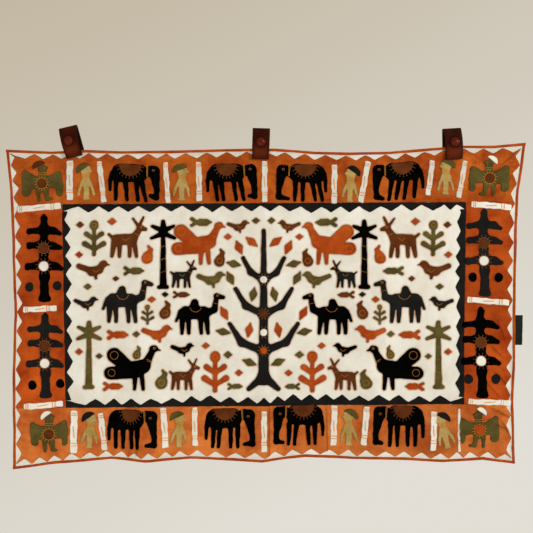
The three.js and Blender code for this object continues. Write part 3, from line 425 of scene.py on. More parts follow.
@dataclass(frozen=True)
class SawEdge:
    """Saw tooth edge: where its notches are, how deep they are and how far in it lies."""

    depth: float
    at: tuple[float, ...]
    base_at: tuple[float, ...] = (0.0,)
    base: tuple[float, ...] = (BAND_INSET,)
    inwards: bool = True

    def line(self, ends: Point, span: Point) -> list[Point]:
        """Corners of the edge between two places along its side.

        Args:
            ends: both ends of the side.
            span: where the line starts and where it stops.

        Returns:
            Place and inset of each corner.
        """
        marks = [(ends[0], self.corner_inset(ends[0], not self.inwards, 0))]
        for index, place in enumerate(self.at):
            marks.append((place, self.corner_inset(place, self.inwards, index)))
            if index + 1 < len(self.at):
                middle = (place + self.at[index + 1]) / 2
                marks.append((middle, self.corner_inset(middle, not self.inwards, index)))
        marks.append((ends[1], self.corner_inset(ends[1], not self.inwards, 0)))
        places, insets = np.array(marks, float).T
        low, high = min(span), max(span)
        inner = [mark for mark in marks if low < mark[0] < high]
        line = [(low, float(np.interp(low, places, insets))), *inner]
        line.append((high, float(np.interp(high, places, insets))))
        return line[::-1] if span[1] < span[0] else line

    def corner_inset(self, place: float, far: bool, index: int) -> float:
        """Distance in from the side of a corner of the line, on its far or its near row.

        Args:
            place: place along the side.
            far: whether the corner is on the far row.
            index: number of the tooth.

        Returns:
            The distance.
        """
        near = float(np.interp(place, self.base_at, self.base))
        shift = index if self.inwards else index + 3
        return near + (self.depth * (1 + TOOTH_UNEVENNESS * uneven(shift)) if far else 0)


BAND_EDGES = {
    "top": SawEdge(
        12.5,
        (-552, -510, -467, -425, -382, -338, -288, -243, -201, -150, -104, -56, -10, 36, 79, 127,
         178, 223, 268, 318, 361, 408, 452, 501, 545, 592),
    ),
    "bottom": SawEdge(
        14,
        (-551, -516, -482, -442, -400, -362, -325, -295, -262, -222, -190, -148, -104, -58, -14, 35,
         75, 118, 161, 206, 246, 292, 336, 376, 421, 459, 488, 530, 570),
    ),
    "left": SawEdge(
        13,
        (-728, -685, -640, -600, -556, -510, -466, -420, -377, -330, -292, -244, -198, -150, -108,
         -72, -36),
    ),
    "right": SawEdge(
        12.5,
        (-720, -662, -616, -570, -528, -484, -435, -394, -346, -300, -257, -214, -166, -121, -74,
         -33),
    ),
}
STRIP_EDGES = {
    "top": SawEdge(
        14.5,
        (-428, -380, -333, -287, -234, -184, -137, -90, -43, 0, 44, 94, 143, 187, 231, 282, 330, 378,
         431, 460),
        (60, 100, 290, 330),
        (4.7, 8.3, 8.3, 4.7),
        False,
    ),
    "bottom": SawEdge(
        14.5,
        (-410, -364, -325, -281, -232, -183, -142, -94, -53, -8, 23, 56, 96, 134, 172, 209, 252, 301,
         346, 396, 445),
        (-260, -184, -142, -94, -8, 30, 56, 172, 209, 301, 346),
        (5.3, 7.7, 11, 8.3, 5.3, 6.5, 11, 11.5, 8.7, 8.7, 5.3),
        False,
    ),
    "left": SawEdge(
        14, (-582, -540, -490, -442, -398, -356, -310, -268, -225, -182), (0,), (5.1,), False
    ),
    "right": SawEdge(
        10,
        (-586, -544, -498, -454, -411, -362, -319, -287, -249, -208, -165),
        (-410, -362, -287, -208),
        (9.5, 11.5, 13.5, 11),
        False,
    ),
}
STRIP_END = 17.0
STRIP_CLEAR = -0.8


# Motif outlines


@dataclass(frozen=True)
class Rod:
    """A tapered rod of a motif, from one round end to the other, about the motif's foot."""

    part: str
    x0: float
    z0: float
    r0: float
    x1: float
    z1: float
    r1: float


def limb(part: str, *joints: tuple[float, float, float]) -> tuple[Rod, ...]:
    """Rods from joint to joint, each joint given by its x, z and radius."""
    return tuple(Rod(part, *start, *end) for start, end in zip(joints, joints[1:]))


def both_sides(*rods: Rod) -> tuple[Rod, ...]:
    """Rods of the left side, then their mirror images on the right."""
    return (*rods, *(replace(rod, x0=-rod.x0, x1=-rod.x1) for rod in rods))


ELEPHANT = (
    Rod("body", -33, 68, 22, 12, 70, 21),
    Rod("head", 38, 75, 13.5, 47, 77, 12.5),
    Rod("upper trunk", 47, 72, 13.5, 55, 32, 6.4),
    *limb("tail", (-50, 66, 8), (-55.5, 50, 4.6), (-55.5, 27, 3.8)),
)
LOWER_ELEPHANT = (
    Rod("body", -32, 72, 24, 8, 74, 23),
    Rod("head", 36, 82, 14, 47, 82, 13),
    Rod("upper trunk", 46, 78, 14, 54, 34, 6.8),
    *limb("tail", (-50, 66, 8), (-54.5, 50, 4.8), (-54.5, 25, 4)),
)
TRUNK_KNEE = (54.5, 33, 6.4)
TRUNK_BEND = (54.5, 14, 7)
TRUNK_TIP_RADIUS = 4.8
LEG_TOP = (54, 6.6)
LEG_FOOT = (6, 4.4)
FIGURE = (
    Rod("head", 1, 74, 13, 3, 70, 12.5),
    Rod("nose", 8, 71, 6, 16, 69, 2.5),
    Rod("neck", 2, 64, 10.5, 2, 52, 9),
    Rod("skirt", 1.5, 50, 7.5, 0.8, 12, 7.2),
    Rod("hem", -5, 3.8, 3.6, 6, 3.8, 3.6),
    *limb("back arm", (-6, 47, 4.6), (-14, 28, 3.6), (-18, 14, 3.4)),
    *limb("fore arm", (9, 47, 4.6), (15.5, 28, 3.6), (18.5, 13, 3.4)),
)
BIRD = (
    Rod("head", 0, 80, 9.5, 2, 77, 9.5),
    Rod("beak", 4, 82, 6, 13, 81.5, 2),
    Rod("neck", 0.5, 74, 8.5, 0.5, 54, 9.5),
    Rod("chest", 0, 50, 14, 0, 38, 15),
    Rod("back upper wing", -16, 50, 10, -41, 69, 6.5),
    Rod("back wing edge", -41, 68, 6.5, -41, 42, 7),
    Rod("back wing end", -40, 42, 8, -36.5, 23, 11),
    Rod("back inner wing", -12, 46, 15, -31, 45, 15),
    Rod("fore upper wing", 16, 50, 10, 39, 67, 6.5),
    Rod("fore wing edge", 40, 66, 6.5, 43, 42, 7),
    Rod("fore wing end", 42, 42, 8, 42.5, 20.5, 8),
    Rod("fore inner wing", 12, 48, 14, 34, 46, 14),
    Rod("back leg", -9, 28, 6, -7.5, 4, 3.6),
    Rod("fore leg", 8, 30, 7.5, 13, 8, 4.6),
    Rod("curled foot", 13, 7, 4.6, 23, 7, 3.6),
)
CLOSE_BIRD = (
    Rod("head", -0.5, 83, 9, 1, 80, 9),
    Rod("beak", 3, 85, 6, 12, 84.5, 2),
    Rod("neck", 0, 76, 8, 0, 56, 9),
    Rod("chest", 0, 52, 14, 0, 38, 14),
    Rod("back upper wing", -14, 50, 10, -37, 66, 6.5),
    Rod("back wing edge", -37, 65, 6.5, -36, 42, 7),
    Rod("back wing end", -36, 42, 7, -32, 26, 9.5),
    Rod("back inner wing", -12, 48, 15, -27, 46, 15),
    Rod("fore upper wing", 14, 52, 10, 34, 70, 6),
    Rod("fore wing edge", 35, 69, 6, 37, 44, 6.5),
    Rod("fore wing end", 37, 44, 6.5, 36, 24, 7),
    Rod("fore inner wing", 12, 48, 14, 29, 48, 14),
    Rod("back leg", -9, 28, 6, -9, 4, 3.6),
    Rod("fore leg", 6, 30, 7.5, 9, 8, 4.6),
    Rod("curled foot", 9, 7, 4.6, 17, 7, 3.6),
)
TREE = (
    *limb("finial", (-1, 203, 2.5), (-1, 196, 6.6), (-1.5, 180, 6.4)),
    *limb(
        "trunk", (-1.5, 180, 7), (-2, 150, 7.4), (-1.5, 112, 10), (0.5, 60, 11), (1, 32, 8.6), (1, 13, 12)
    ),
    Rod("root", -8.5, 4.6, 4.4, 10.5, 4.6, 4.4),
    Rod("upper left bough", -4, 168, 9.5, -35, 165, 5.8),
    Rod("upper left end", -38, 166, 3.6, -38, 162, 3.6),
    *limb("upper right bough", (2, 168, 9.5), (22, 166, 7.4), (37, 159, 5)),
    Rod("middle left bough", -4, 133, 11, -33, 131.5, 7),
    Rod("middle left end", -37.5, 134, 3.8, -37.5, 128.5, 3.8),
    *limb("middle right bough", (2, 133, 11), (22, 130.5, 7.6), (37.5, 126, 5.4)),
    Rod("lower left bough", -4, 86, 12.5, -36, 82, 7.2),
    Rod("lower left end", -41, 85, 3.8, -41, 78.5, 3.8),
    *limb("lower right bough", (3, 86, 12.5), (24, 83, 8), (39, 77.5, 6)),
)
TREE_OF_LIFE = (
    Rod("trunk", 0, 378, 5, 0, 30, 13),
    *both_sides(Rod("root", -4, 34, 10, -34, 8, 6)),
    *both_sides(*limb("first branch", (0, 96, 10), (-52, 116, 8), (-80, 160, 5))),
    *both_sides(*limb("second branch", (0, 182, 9), (-42, 202, 7), (-66, 242, 5))),
    *both_sides(*limb("third branch", (0, 262, 8), (-30, 280, 6), (-48, 314, 5))),
)
PEACOCK = (
    Rod("body", -8, 46, 20, 14, 54, 16),
    Rod("neck", 18, 58, 11, 34, 88, 6.5),
    Rod("head", 35, 92, 8.5, 38, 93, 8),
    Rod("beak", 40, 92, 4, 51, 89, 1.5),
    Rod("upper tail", -18, 50, 14, -52, 78, 17),
    Rod("lower tail", -20, 40, 14, -60, 38, 15),
    Rod("hind leg", -4, 32, 6, -6, 4, 4),
    Rod("fore leg", 10, 38, 6, 14, 4, 4),
)
CAMEL = (
    Rod("body", -26, 54, 17, 18, 54, 16),
    Rod("hump", -6, 62, 16, -4, 80, 9),
    *limb("neck", (24, 54, 11), (44, 62, 8), (50, 92, 6)),
    Rod("muzzle", 50, 96, 7.5, 66, 92, 5),
    Rod("tail", -40, 58, 5, -50, 34, 3.5),
    Rod("outer hind leg", -34, 44, 8, -36, 4, 4.5),
    Rod("inner hind leg", -20, 42, 7, -19, 4, 4.5),
    Rod("inner fore leg", 10, 42, 7, 12, 4, 4.5),
    Rod("outer fore leg", 24, 44, 8, 29, 4, 4.5),
)
DEER = (
    Rod("body", -22, 42, 13, 14, 44, 12),
    Rod("neck", 18, 48, 9, 30, 66, 6.5),
    Rod("head", 31, 70, 7, 44, 66, 4.5),
    Rod("fore antler", 30, 74, 3.5, 39, 94, 2.5),
    Rod("back antler", 28, 74, 3.5, 15, 91, 2.5),
    Rod("tail", -33, 48, 4, -41, 55, 3),
    Rod("outer hind leg", -28, 36, 7, -34, 4, 4),
    Rod("inner hind leg", -16, 34, 6, -16, 4, 4),
    Rod("inner fore leg", 8, 36, 6, 8, 4, 4),
    Rod("outer fore leg", 18, 38, 6, 24, 4, 4),
)
PALM = (
    Rod("trunk", 0, 132, 5, 0, 12, 8),
    Rod("foot", -9, 6, 5, 9, 6, 5),
    Rod("crown", 0, 134, 9, 0, 160, 5),
    *both_sides(Rod("upper frond", 0, 138, 7, -25, 149, 4)),
    *both_sides(Rod("lower frond", 0, 132, 7, -27, 121, 4)),
)
SMALL_BIRD = (
    Rod("body", -6, 15, 9, 7, 18, 8),
    Rod("head", 14, 28, 6.5, 16, 29, 6.5),
    Rod("beak", 18, 29, 3, 27, 27, 1.2),
    Rod("neck", 9, 20, 7, 14, 27, 6),
    Rod("tail", -10, 17, 6, -30, 25, 5),
    Rod("leg", 1, 9, 3.5, 2, 2, 2.5),
)
LEAF = (
    *limb("blade", (0, 8, 5), (0, 17, 8.5), (0, 33, 1.6)),
    Rod("stalk", 0, 0, 1.6, 0, 8, 3),
)
BUSH = (
    Rod("stem", 0, 3, 4.5, 0, 62, 4),
    Rod("flower", 0, 70, 10, 0, 73, 10),
    *both_sides(Rod("lower leaf", 0, 14, 4, -22, 28, 6.5)),
    *both_sides(Rod("upper leaf", 0, 38, 4, -18, 51, 6)),
)
PAISLEY = (
    Rod("belly", 0, 17, 16, 2, 22, 14.5),
    *limb("curl", (3, 26, 12), (10, 42, 6), (3, 53, 3)),
)
FISH = (
    *limb("body", (-6, 0, 9), (9, 0, 8), (21, 0, 2)),
    Rod("upper fin", -14, 0, 4, -27, 8, 4.5),
    Rod("lower fin", -14, 0, 4, -27, -8, 4.5),
)
MEETING_SOFTNESS = 3.0
FORK_SOFTNESS = 9.0
FORKED = (TREE, TREE_OF_LIFE)


def rod_distance(rods: Sequence[Rod], x: Array, z: Array) -> Array:
    """Distance to all the rods of a motif, negative inside, with their meetings rounded.

    Args:
        rods: the motif.
        x: places.
        z: heights.

    Returns:
        The distance at each place.
    """
    nearest = np.full(np.shape(x), 1e3)
    soft = FORK_SOFTNESS if rods in FORKED else MEETING_SOFTNESS
    for rod in rods:
        along = np.array([rod.x1 - rod.x0, rod.z1 - rod.z0], float)
        share = ((x - rod.x0) * along[0] + (z - rod.z0) * along[1]) / float(along @ along)
        share = np.clip(share, 0, 1)
        away = np.hypot(x - rod.x0 - share * along[0], z - rod.z0 - share * along[1])
        away = away - (rod.r0 + share * (rod.r1 - rod.r0))
        overlap = np.maximum(soft - np.abs(nearest - away), 0) / soft
        nearest = np.minimum(nearest, away) - overlap * overlap * soft * 0.25
    return nearest


def trace_outline(rods: Sequence[Rod], cell: float = 1.4) -> Array:
    """Follows the line of zero distance round a motif, from cell to cell of a grid.

    Args:
        rods: the motif.
        cell: size of a grid cell.

    Returns:
        The longest closed line, one row of x and z for each point.
    """
    margin = 2 * cell
    low_x = min(min(r.x0 - r.r0, r.x1 - r.r1) for r in rods) - margin
    high_x = max(max(r.x0 + r.r0, r.x1 + r.r1) for r in rods) + margin
    low_z = min(min(r.z0 - r.r0, r.z1 - r.r1) for r in rods) - margin
    high_z = max(max(r.z0 + r.r0, r.z1 + r.r1) for r in rods) + margin
    xs = np.arange(low_x, high_x + cell, cell)
    zs = np.arange(low_z, high_z + cell, cell)
    values = rod_distance(rods, *np.meshgrid(xs, zs, indexing="ij"))
    inside = values < 0
    mixed = np.zeros((len(xs) - 1, len(zs) - 1), int)
    for step_x, step_z in ((0, 0), (1, 0), (1, 1), (0, 1)):
        mixed += inside[step_x : step_x + mixed.shape[0], step_z : step_z + mixed.shape[1]]
    following: dict[tuple, tuple] = {}
    crossing: dict[tuple, Point] = {}
    for column, row in zip(*np.nonzero((mixed > 0) & (mixed < 4))):
        ends = [(column, row), (column + 1, row), (column + 1, row + 1), (column, row + 1)]
        edges = []
        for index in range(4):
            a, b = ends[index], ends[(index + 1) % 4]
            edges.append((tuple(sorted((a, b))), a, b, bool(inside[a]), bool(inside[b])))
        for index, (key, a, b, starts, stops) in enumerate(edges):
            if not starts or stops:
                continue
            share = values[a] / (values[a] - values[b])
            crossing[key] = (
                float(xs[a[0]] + share * (xs[b[0]] - xs[a[0]])),
                float(zs[a[1]] + share * (zs[b[1]] - zs[a[1]])),
            )
            for step in (1, 2, 3):
                other = edges[(index + step) % 4]
                if not other[3] and other[4]:
                    following[key] = other[0]
                    break
    longest: list[Point] = []
    while following:
        key = next(iter(following))
        loop = []
        while key in following:
            loop.append(crossing[key])
            key = following.pop(key)
        if len(loop) > len(longest):
            longest = loop
    return np.array(longest)


def counter_clockwise(points: Array) -> Array:
    """The same closed line, running counter-clockwise.

    Args:
        points: points of the line, one row of x and z each.

    Returns:
        The line.
    """
    after = np.roll(points, -1, axis=0)
    area = float((points[:, 0] * after[:, 1] - after[:, 0] * points[:, 1]).sum())
    return points if area > 0 else points[::-1]


def resampled(points: Array, step: float, closed: bool = True) -> Array:
    """A line again, with points about step apart.

    Args:
        points: the line.
        step: distance between the new points.
        closed: whether the line returns to its start.

    Returns:
        The new points.
    """
    line = np.vstack([points, points[:1]]) if closed else points
    lengths = np.hypot(*np.diff(line, axis=0).T)
    along = np.concatenate([[0], np.cumsum(lengths)])
    count = max(3 if closed else 1, round(along[-1] / step))
    at = np.linspace(0, along[-1], count + 1)
    if closed:
        at = at[:-1]
    return np.stack([np.interp(at, along, line[:, 0]), np.interp(at, along, line[:, 1])], axis=1)


def rounded(points: Array, step: float, passes: int) -> Array:
    """A closed line with its corners softened by passes of a short average.

    Args:
        points: points of the line, one row of x and z each.
        step: distance between points.
        passes: number of passes.

    Returns:
        The softened line.
    """
    line = resampled(points, step)
    for _ in range(passes):
        line = 0.5 * line + 0.25 * (np.roll(line, 1, axis=0) + np.roll(line, -1, axis=0))
    return line


def inward_normals(points: Array) -> Array:
    """Directions into a counter-clockwise closed line, one for each point.

    Args:
        points: points of the line, one row of x and z each.

    Returns:
        One unit direction for each point.
    """
    along = np.roll(points, -1, axis=0) - np.roll(points, 1, axis=0)
    along /= np.maximum(np.hypot(*along.T), 1e-9)[:, None]
    return np.stack([-along[:, 1], along[:, 0]], axis=1)


def distance_inside(points: Array, line: Array) -> Array:
    """Distance from points to a closed line.

    Args:
        points: the places.
        line: the closed line.

    Returns:
        The distance of each point to the nearest part of the line.
    """
    nearest = np.full(len(points), 1e9)
    starts, ends = line, np.roll(line, -1, axis=0)
    spans = ends - starts
    sizes = np.maximum((spans * spans).sum(axis=1), 1e-12)
    chunk = max(1, int(4e6 // len(line)))
    for first in range(0, len(points), chunk):
        some = points[first : first + chunk, None, :]
        share = np.clip(((some - starts) * spans).sum(axis=2) / sizes, 0, 1)
        away = some - starts - share[..., None] * spans
        nearest[first : first + chunk] = np.sqrt((away * away).sum(axis=2).min(axis=1))
    return nearest


def is_inside(points: Array, line: Array) -> Array:
    """Whether each point lies inside a closed line.

    Args:
        points: the places.
        line: the closed line.

    Returns:
        True or False for each point.
    """
    inside = np.zeros(len(points), bool)
    x, z = points[:, 0], points[:, 1]
    for (x0, z0), (x1, z1) in zip(line, np.roll(line, -1, axis=0)):
        if z0 == z1:
            continue
        crosses = (z0 > z) != (z1 > z)
        inside ^= crosses & (x < x0 + (z - z0) * (x1 - x0) / (z1 - z0))
    return inside


@dataclass(frozen=True)
class Placement:
    """Where a motif sits: the middle of its foot, its facing, size and tilt in degrees."""

    x: float
    z: float
    facing: int = 1
    size: float = 1.0
    tilt: float = 0.0

    def apply(self, points: Array | Sequence[Point]) -> Array:
        """Moves points of the motif to their place on the cloth.

        Args:
            points: points about the motif's foot.

        Returns:
            The moved points.
        """
        local = np.array(points, float).reshape(-1, 2) * (self.facing * self.size, self.size)
        turn = math.radians(self.tilt)
        spin = np.array([[math.cos(turn), math.sin(turn)], [-math.sin(turn), math.cos(turn)]])
        return local @ spin + (self.x, self.z)


@dataclass(frozen=True)
class Elephant:
    """One elephant: its row's shape, the end of its trunk, and the tops and feet of its legs."""

    name: str
    place: Placement
    shape: tuple[Rod, ...]
    tip: Point
    legs: tuple[Point, ...]
    saddle_x: float = -10.5
    saddle_half: float = 27.0

    def rods(self) -> tuple[Rod, ...]:
        """All the rods of this elephant.

        Returns:
            The rods.
        """
        return (
            *self.shape,
            *limb("lower trunk", TRUNK_KNEE, TRUNK_BEND, (*self.tip, TRUNK_TIP_RADIUS)),
            *(Rod("leg", belly, *LEG_TOP, foot, *LEG_FOOT) for belly, foot in self.legs),
        )

    @property
    def back(self) -> float:
        """Height of the elephant's back, where its saddlecloth starts."""
        return 96.0 if self.shape is LOWER_ELEPHANT else 89.5


def half_moon(x: float, z: float, half: float, rise: float, tilt: float, steps: int = 14) -> Array:
    """A half moon patch: a straight side through a point and a round side above it.

    Args:
        x: middle of the straight side.
        z: height of that middle.
        half: half the length of the straight side.
        rise: height of the round side, or depth below if negative.
        tilt: turn in degrees.
        steps: number of points on the round side.

    Returns:
        The closed outline.
    """
    angles = np.linspace(0, math.pi, steps)
    arc = np.stack([np.cos(angles) * half, np.sin(angles) * rise], axis=1)
    return Placement(x, z, tilt=tilt).apply(arc)


def ring(x: float, z: float, radius: float, squash: float = 1.0, steps: int = 20) -> Array:
    """A round outline about a point."""
    angles = np.linspace(0, math.tau, steps, endpoint=False)
    return np.stack([x + np.cos(angles) * radius, z + np.sin(angles) * radius * squash], axis=1)


# Finishes


@dataclass(frozen=True)
class ClothFinish:
    """Cotton: its colour, how uneven the dye is, and the thread of its weave."""

    slot: str
    colour: Colour
    faded: Colour
    deep: Colour
    mottle: float = 0.5
    mottle_scale: float = 22.0
    thread: float = 0.62
    bump: float = 0.30
    roughness: float = 0.92
    sheen: float = 0.06
    shine: float = 0.12
    slub: float = 0.13
    stain: float = 0.35

    def material(self) -> bpy.types.Material:
        """Makes the cotton's material.

        Returns:
            A material that reads the piece's weave and tone attributes.
        """
        nodes = NodeBoard(f"{self.slot}_cloth")
        weave = nodes.attribute("weave")
        tone = nodes.attribute("tone", "Fac")
        mottle = nodes.noise(weave, self.mottle_scale, 4.0, 0.62)
        blotch = nodes.noise(weave, self.mottle_scale * 4.3, 3.0, 0.55)
        slub_x = nodes.noise(nodes.stretched(weave, (30.0, 700.0, 1.0)), 1.0, 2.0, 0.5)
        slub_z = nodes.noise(nodes.stretched(weave, (700.0, 30.0, 1.0)), 1.0, 2.0, 0.5)
        slubs = nodes.maths("ADD", slub_x, slub_z)
        base = nodes.mix(nodes.spread(mottle, 0.38, 0.66), srgb(self.deep), srgb(self.faded))
        base = nodes.mix(nodes.value_of(1 - self.mottle), base, srgb(self.colour))
        base = nodes.mix(
            nodes.spread(blotch, 0.30, 0.75, 0.0, 0.35 * self.mottle), base, srgb(self.faded)
        )
        stains = nodes.noise(nodes.stretched(weave, (1.0, 1.6, 1.0)), self.mottle_scale * 2.1, 6.0, 0.7)
        base = nodes.mix(nodes.spread(stains, 0.52, 0.68, 0.0, self.stain), base, srgb(self.deep))
        base = nodes.brightness(base, nodes.spread(slubs, 0.7, 1.3, 1 - self.slub, 1 + self.slub))
        base = nodes.brightness(base, tone)
        threads = nodes.weave(weave, self.thread * MM)
        base = nodes.brightness(base, nodes.spread(threads, -1.0, 1.0, 0.93, 1.05))
        height = nodes.maths("ADD", threads, nodes.maths("MULTIPLY", slubs, 1.4))
        return nodes.finish(
            base,
            roughness=self.roughness,
            height=height,
            bump=self.bump,
            distance=0.00018,
            sheen=self.sheen,
            shine=self.shine,
        )


@dataclass(frozen=True)
class ThreadFinish:
    """Sewing thread: its colour and its slight gloss."""

    slot: str
    colour: Colour
    roughness: float = 0.6

    def material(self) -> bpy.types.Material:
        """Makes the thread's material.

        Returns:
            The material.
        """
        nodes = NodeBoard(f"{self.slot}_thread")
        place = nodes.object_place()
        fibres = nodes.noise(place, 1800.0, 2.0, 0.5)
        base = nodes.brightness(srgb(self.colour), nodes.spread(fibres, 0.3, 0.7, 0.75, 1.2))
        return nodes.finish(
            base, roughness=self.roughness, height=fibres, bump=0.35, distance=0.0001, shine=0.25
        )


@dataclass(frozen=True)
class LeatherFinish:
    """Waxed leather with a fine grain, on which the tone attribute paints a highlight band and shade."""

    slot: str = "strap_leather"
    colour: Colour = (70, 23, 7)
    deep: Colour = (46, 13, 4)
    worn: Colour = (116, 46, 17)
    roughness: float = 0.42
    shine: float = 0.04

    def material(self) -> bpy.types.Material:
        """Makes the leather's material.

        Returns:
            The material.
        """
        nodes = NodeBoard(self.slot)
        place = nodes.object_place()
        tone = nodes.attribute("tone", "Fac")
        clouds = nodes.noise(place, 38.0, 4.0, 0.6)
        grain = nodes.voronoi(place, 900.0)
        pores = nodes.noise(place, 2200.0, 3.0, 0.6)
        base = nodes.mix(nodes.spread(clouds, 0.35, 0.68), srgb(self.deep), srgb(self.colour))
        # The tone attribute paints light: above zero it mixes towards the highlight colour, below zero it
        # darkens the leather as painted shade.
        base = nodes.mix(nodes.spread(tone, 0.0, 1.0), base, srgb(self.worn))
        base = nodes.brightness(base, nodes.spread(pores, 0.3, 0.7, 0.82, 1.12))
        base = nodes.brightness(base, nodes.spread(tone, -1.0, 0.0, 0.3, 1.0))
        height = nodes.maths("ADD", grain, nodes.maths("MULTIPLY", pores, 0.5))
        rough = nodes.spread(clouds, 0.3, 0.7, self.roughness - 0.06, self.roughness + 0.1)
        return nodes.finish(
            base, roughness=rough, height=height, bump=0.3, distance=0.0002, shine=self.shine
        )


@dataclass(frozen=True)
class StudFinish:
    """Glossy dark red brown lacquer, rubbed lighter at the rim."""

    slot: str = "stud_lacquer"
    colour: Colour = (84, 23, 7)
    rubbed: Colour = (106, 36, 14)
    roughness: float = 0.2
    shine: float = 0.06
    coat: float = 0.14

    def material(self) -> bpy.types.Material:
        """Makes the lacquer's material.

        Returns:
            The material.
        """
        nodes = NodeBoard(self.slot)
        place = nodes.object_place()
        clouds = nodes.noise(place, 160.0, 3.0, 0.6)
        scuffs = nodes.noise(place, 900.0, 2.0, 0.5)
        tone = nodes.attribute("tone", "Fac")
        base = nodes.mix(tone, srgb(self.colour), srgb(self.rubbed))
        base = nodes.brightness(base, nodes.spread(clouds, 0.3, 0.7, 0.8, 1.15))
        rough = nodes.spread(scuffs, 0.3, 0.7, self.roughness - 0.05, self.roughness + 0.12)
        return nodes.finish(
            base,
            roughness=rough,
            height=clouds,
            bump=0.06,
            distance=0.0002,
            coat=self.coat,
            shine=self.shine,
        )


class Cloth(Enum):
    """The cottons of the hanging."""

    WHITE = ClothFinish(
        "white_cotton", (227, 226, 218), (236, 236, 230), (212, 208, 195), 0.6, 12.0, slub=0.035,
        sheen=0.03, shine=0.08,
    )
    ORANGE = ClothFinish(
        "orange_cotton", (170, 79, 22), (194, 100, 34), (138, 50, 10), 0.95, 11.0, stain=0.75,
        sheen=0.03, shine=0.05,
    )
    DEEP_ORANGE = ClothFinish(
        "orange_cotton", (160, 62, 16), (188, 84, 26), (132, 42, 7), 0.95, 9.0, stain=0.75,
        sheen=0.03, shine=0.05,
    )
    PALE_ORANGE = ClothFinish(
        "orange_cotton", (180, 94, 38), (202, 116, 54), (150, 66, 24), 0.95, 10.0, stain=0.7,
        sheen=0.03, shine=0.05,
    )
    RUST = ClothFinish(
        "rust_cotton", (165, 66, 18), (182, 84, 29), (138, 46, 9), 0.7, 20.0, sheen=0.02, shine=0.04
    )
    CHARCOAL = ClothFinish(
        "charcoal_cotton", (25, 25, 24), (33, 33, 32), (18, 18, 18), 0.7, 18.0, sheen=0.0, shine=0.04
    )
    BLACK = ClothFinish(
        "black_cotton", (3, 4, 2), (9, 10, 7), (2, 2, 1), 0.5, 18.0, sheen=0.0, shine=0.0
    )
    BROWN = ClothFinish(
        "brown_cotton", (90, 46, 18), (104, 56, 26), (72, 33, 11), 0.7, 24.0, sheen=0.02, shine=0.04
    )
    OLIVE = ClothFinish(
        "olive_cotton", (82, 73, 33), (98, 88, 46), (64, 56, 24), 0.8, 24.0, sheen=0.02, shine=0.04
    )
    CREAM = ClothFinish(
        "cream_cotton", (171, 144, 82), (188, 162, 102), (148, 120, 60), 0.7, 24.0, sheen=0.03,
        shine=0.05,
    )


class Thread(Enum):
    """The sewing threads of the hanging."""

    GOLD = ThreadFinish("cream_cotton", (214, 136, 26))
    ORANGE = ThreadFinish("orange_cotton", (224, 122, 34))
    OCHRE = ThreadFinish("orange_cotton", (232, 150, 62))
    BROWN = ThreadFinish("brown_cotton", (170, 100, 44))
    DARK = ThreadFinish("black_cotton", (22, 22, 20))
    WHITE = ThreadFinish("white_cotton", (222, 214, 200))


SHEEN_ROUGHNESS = 0.5
COAT_ROUGHNESS = 0.12


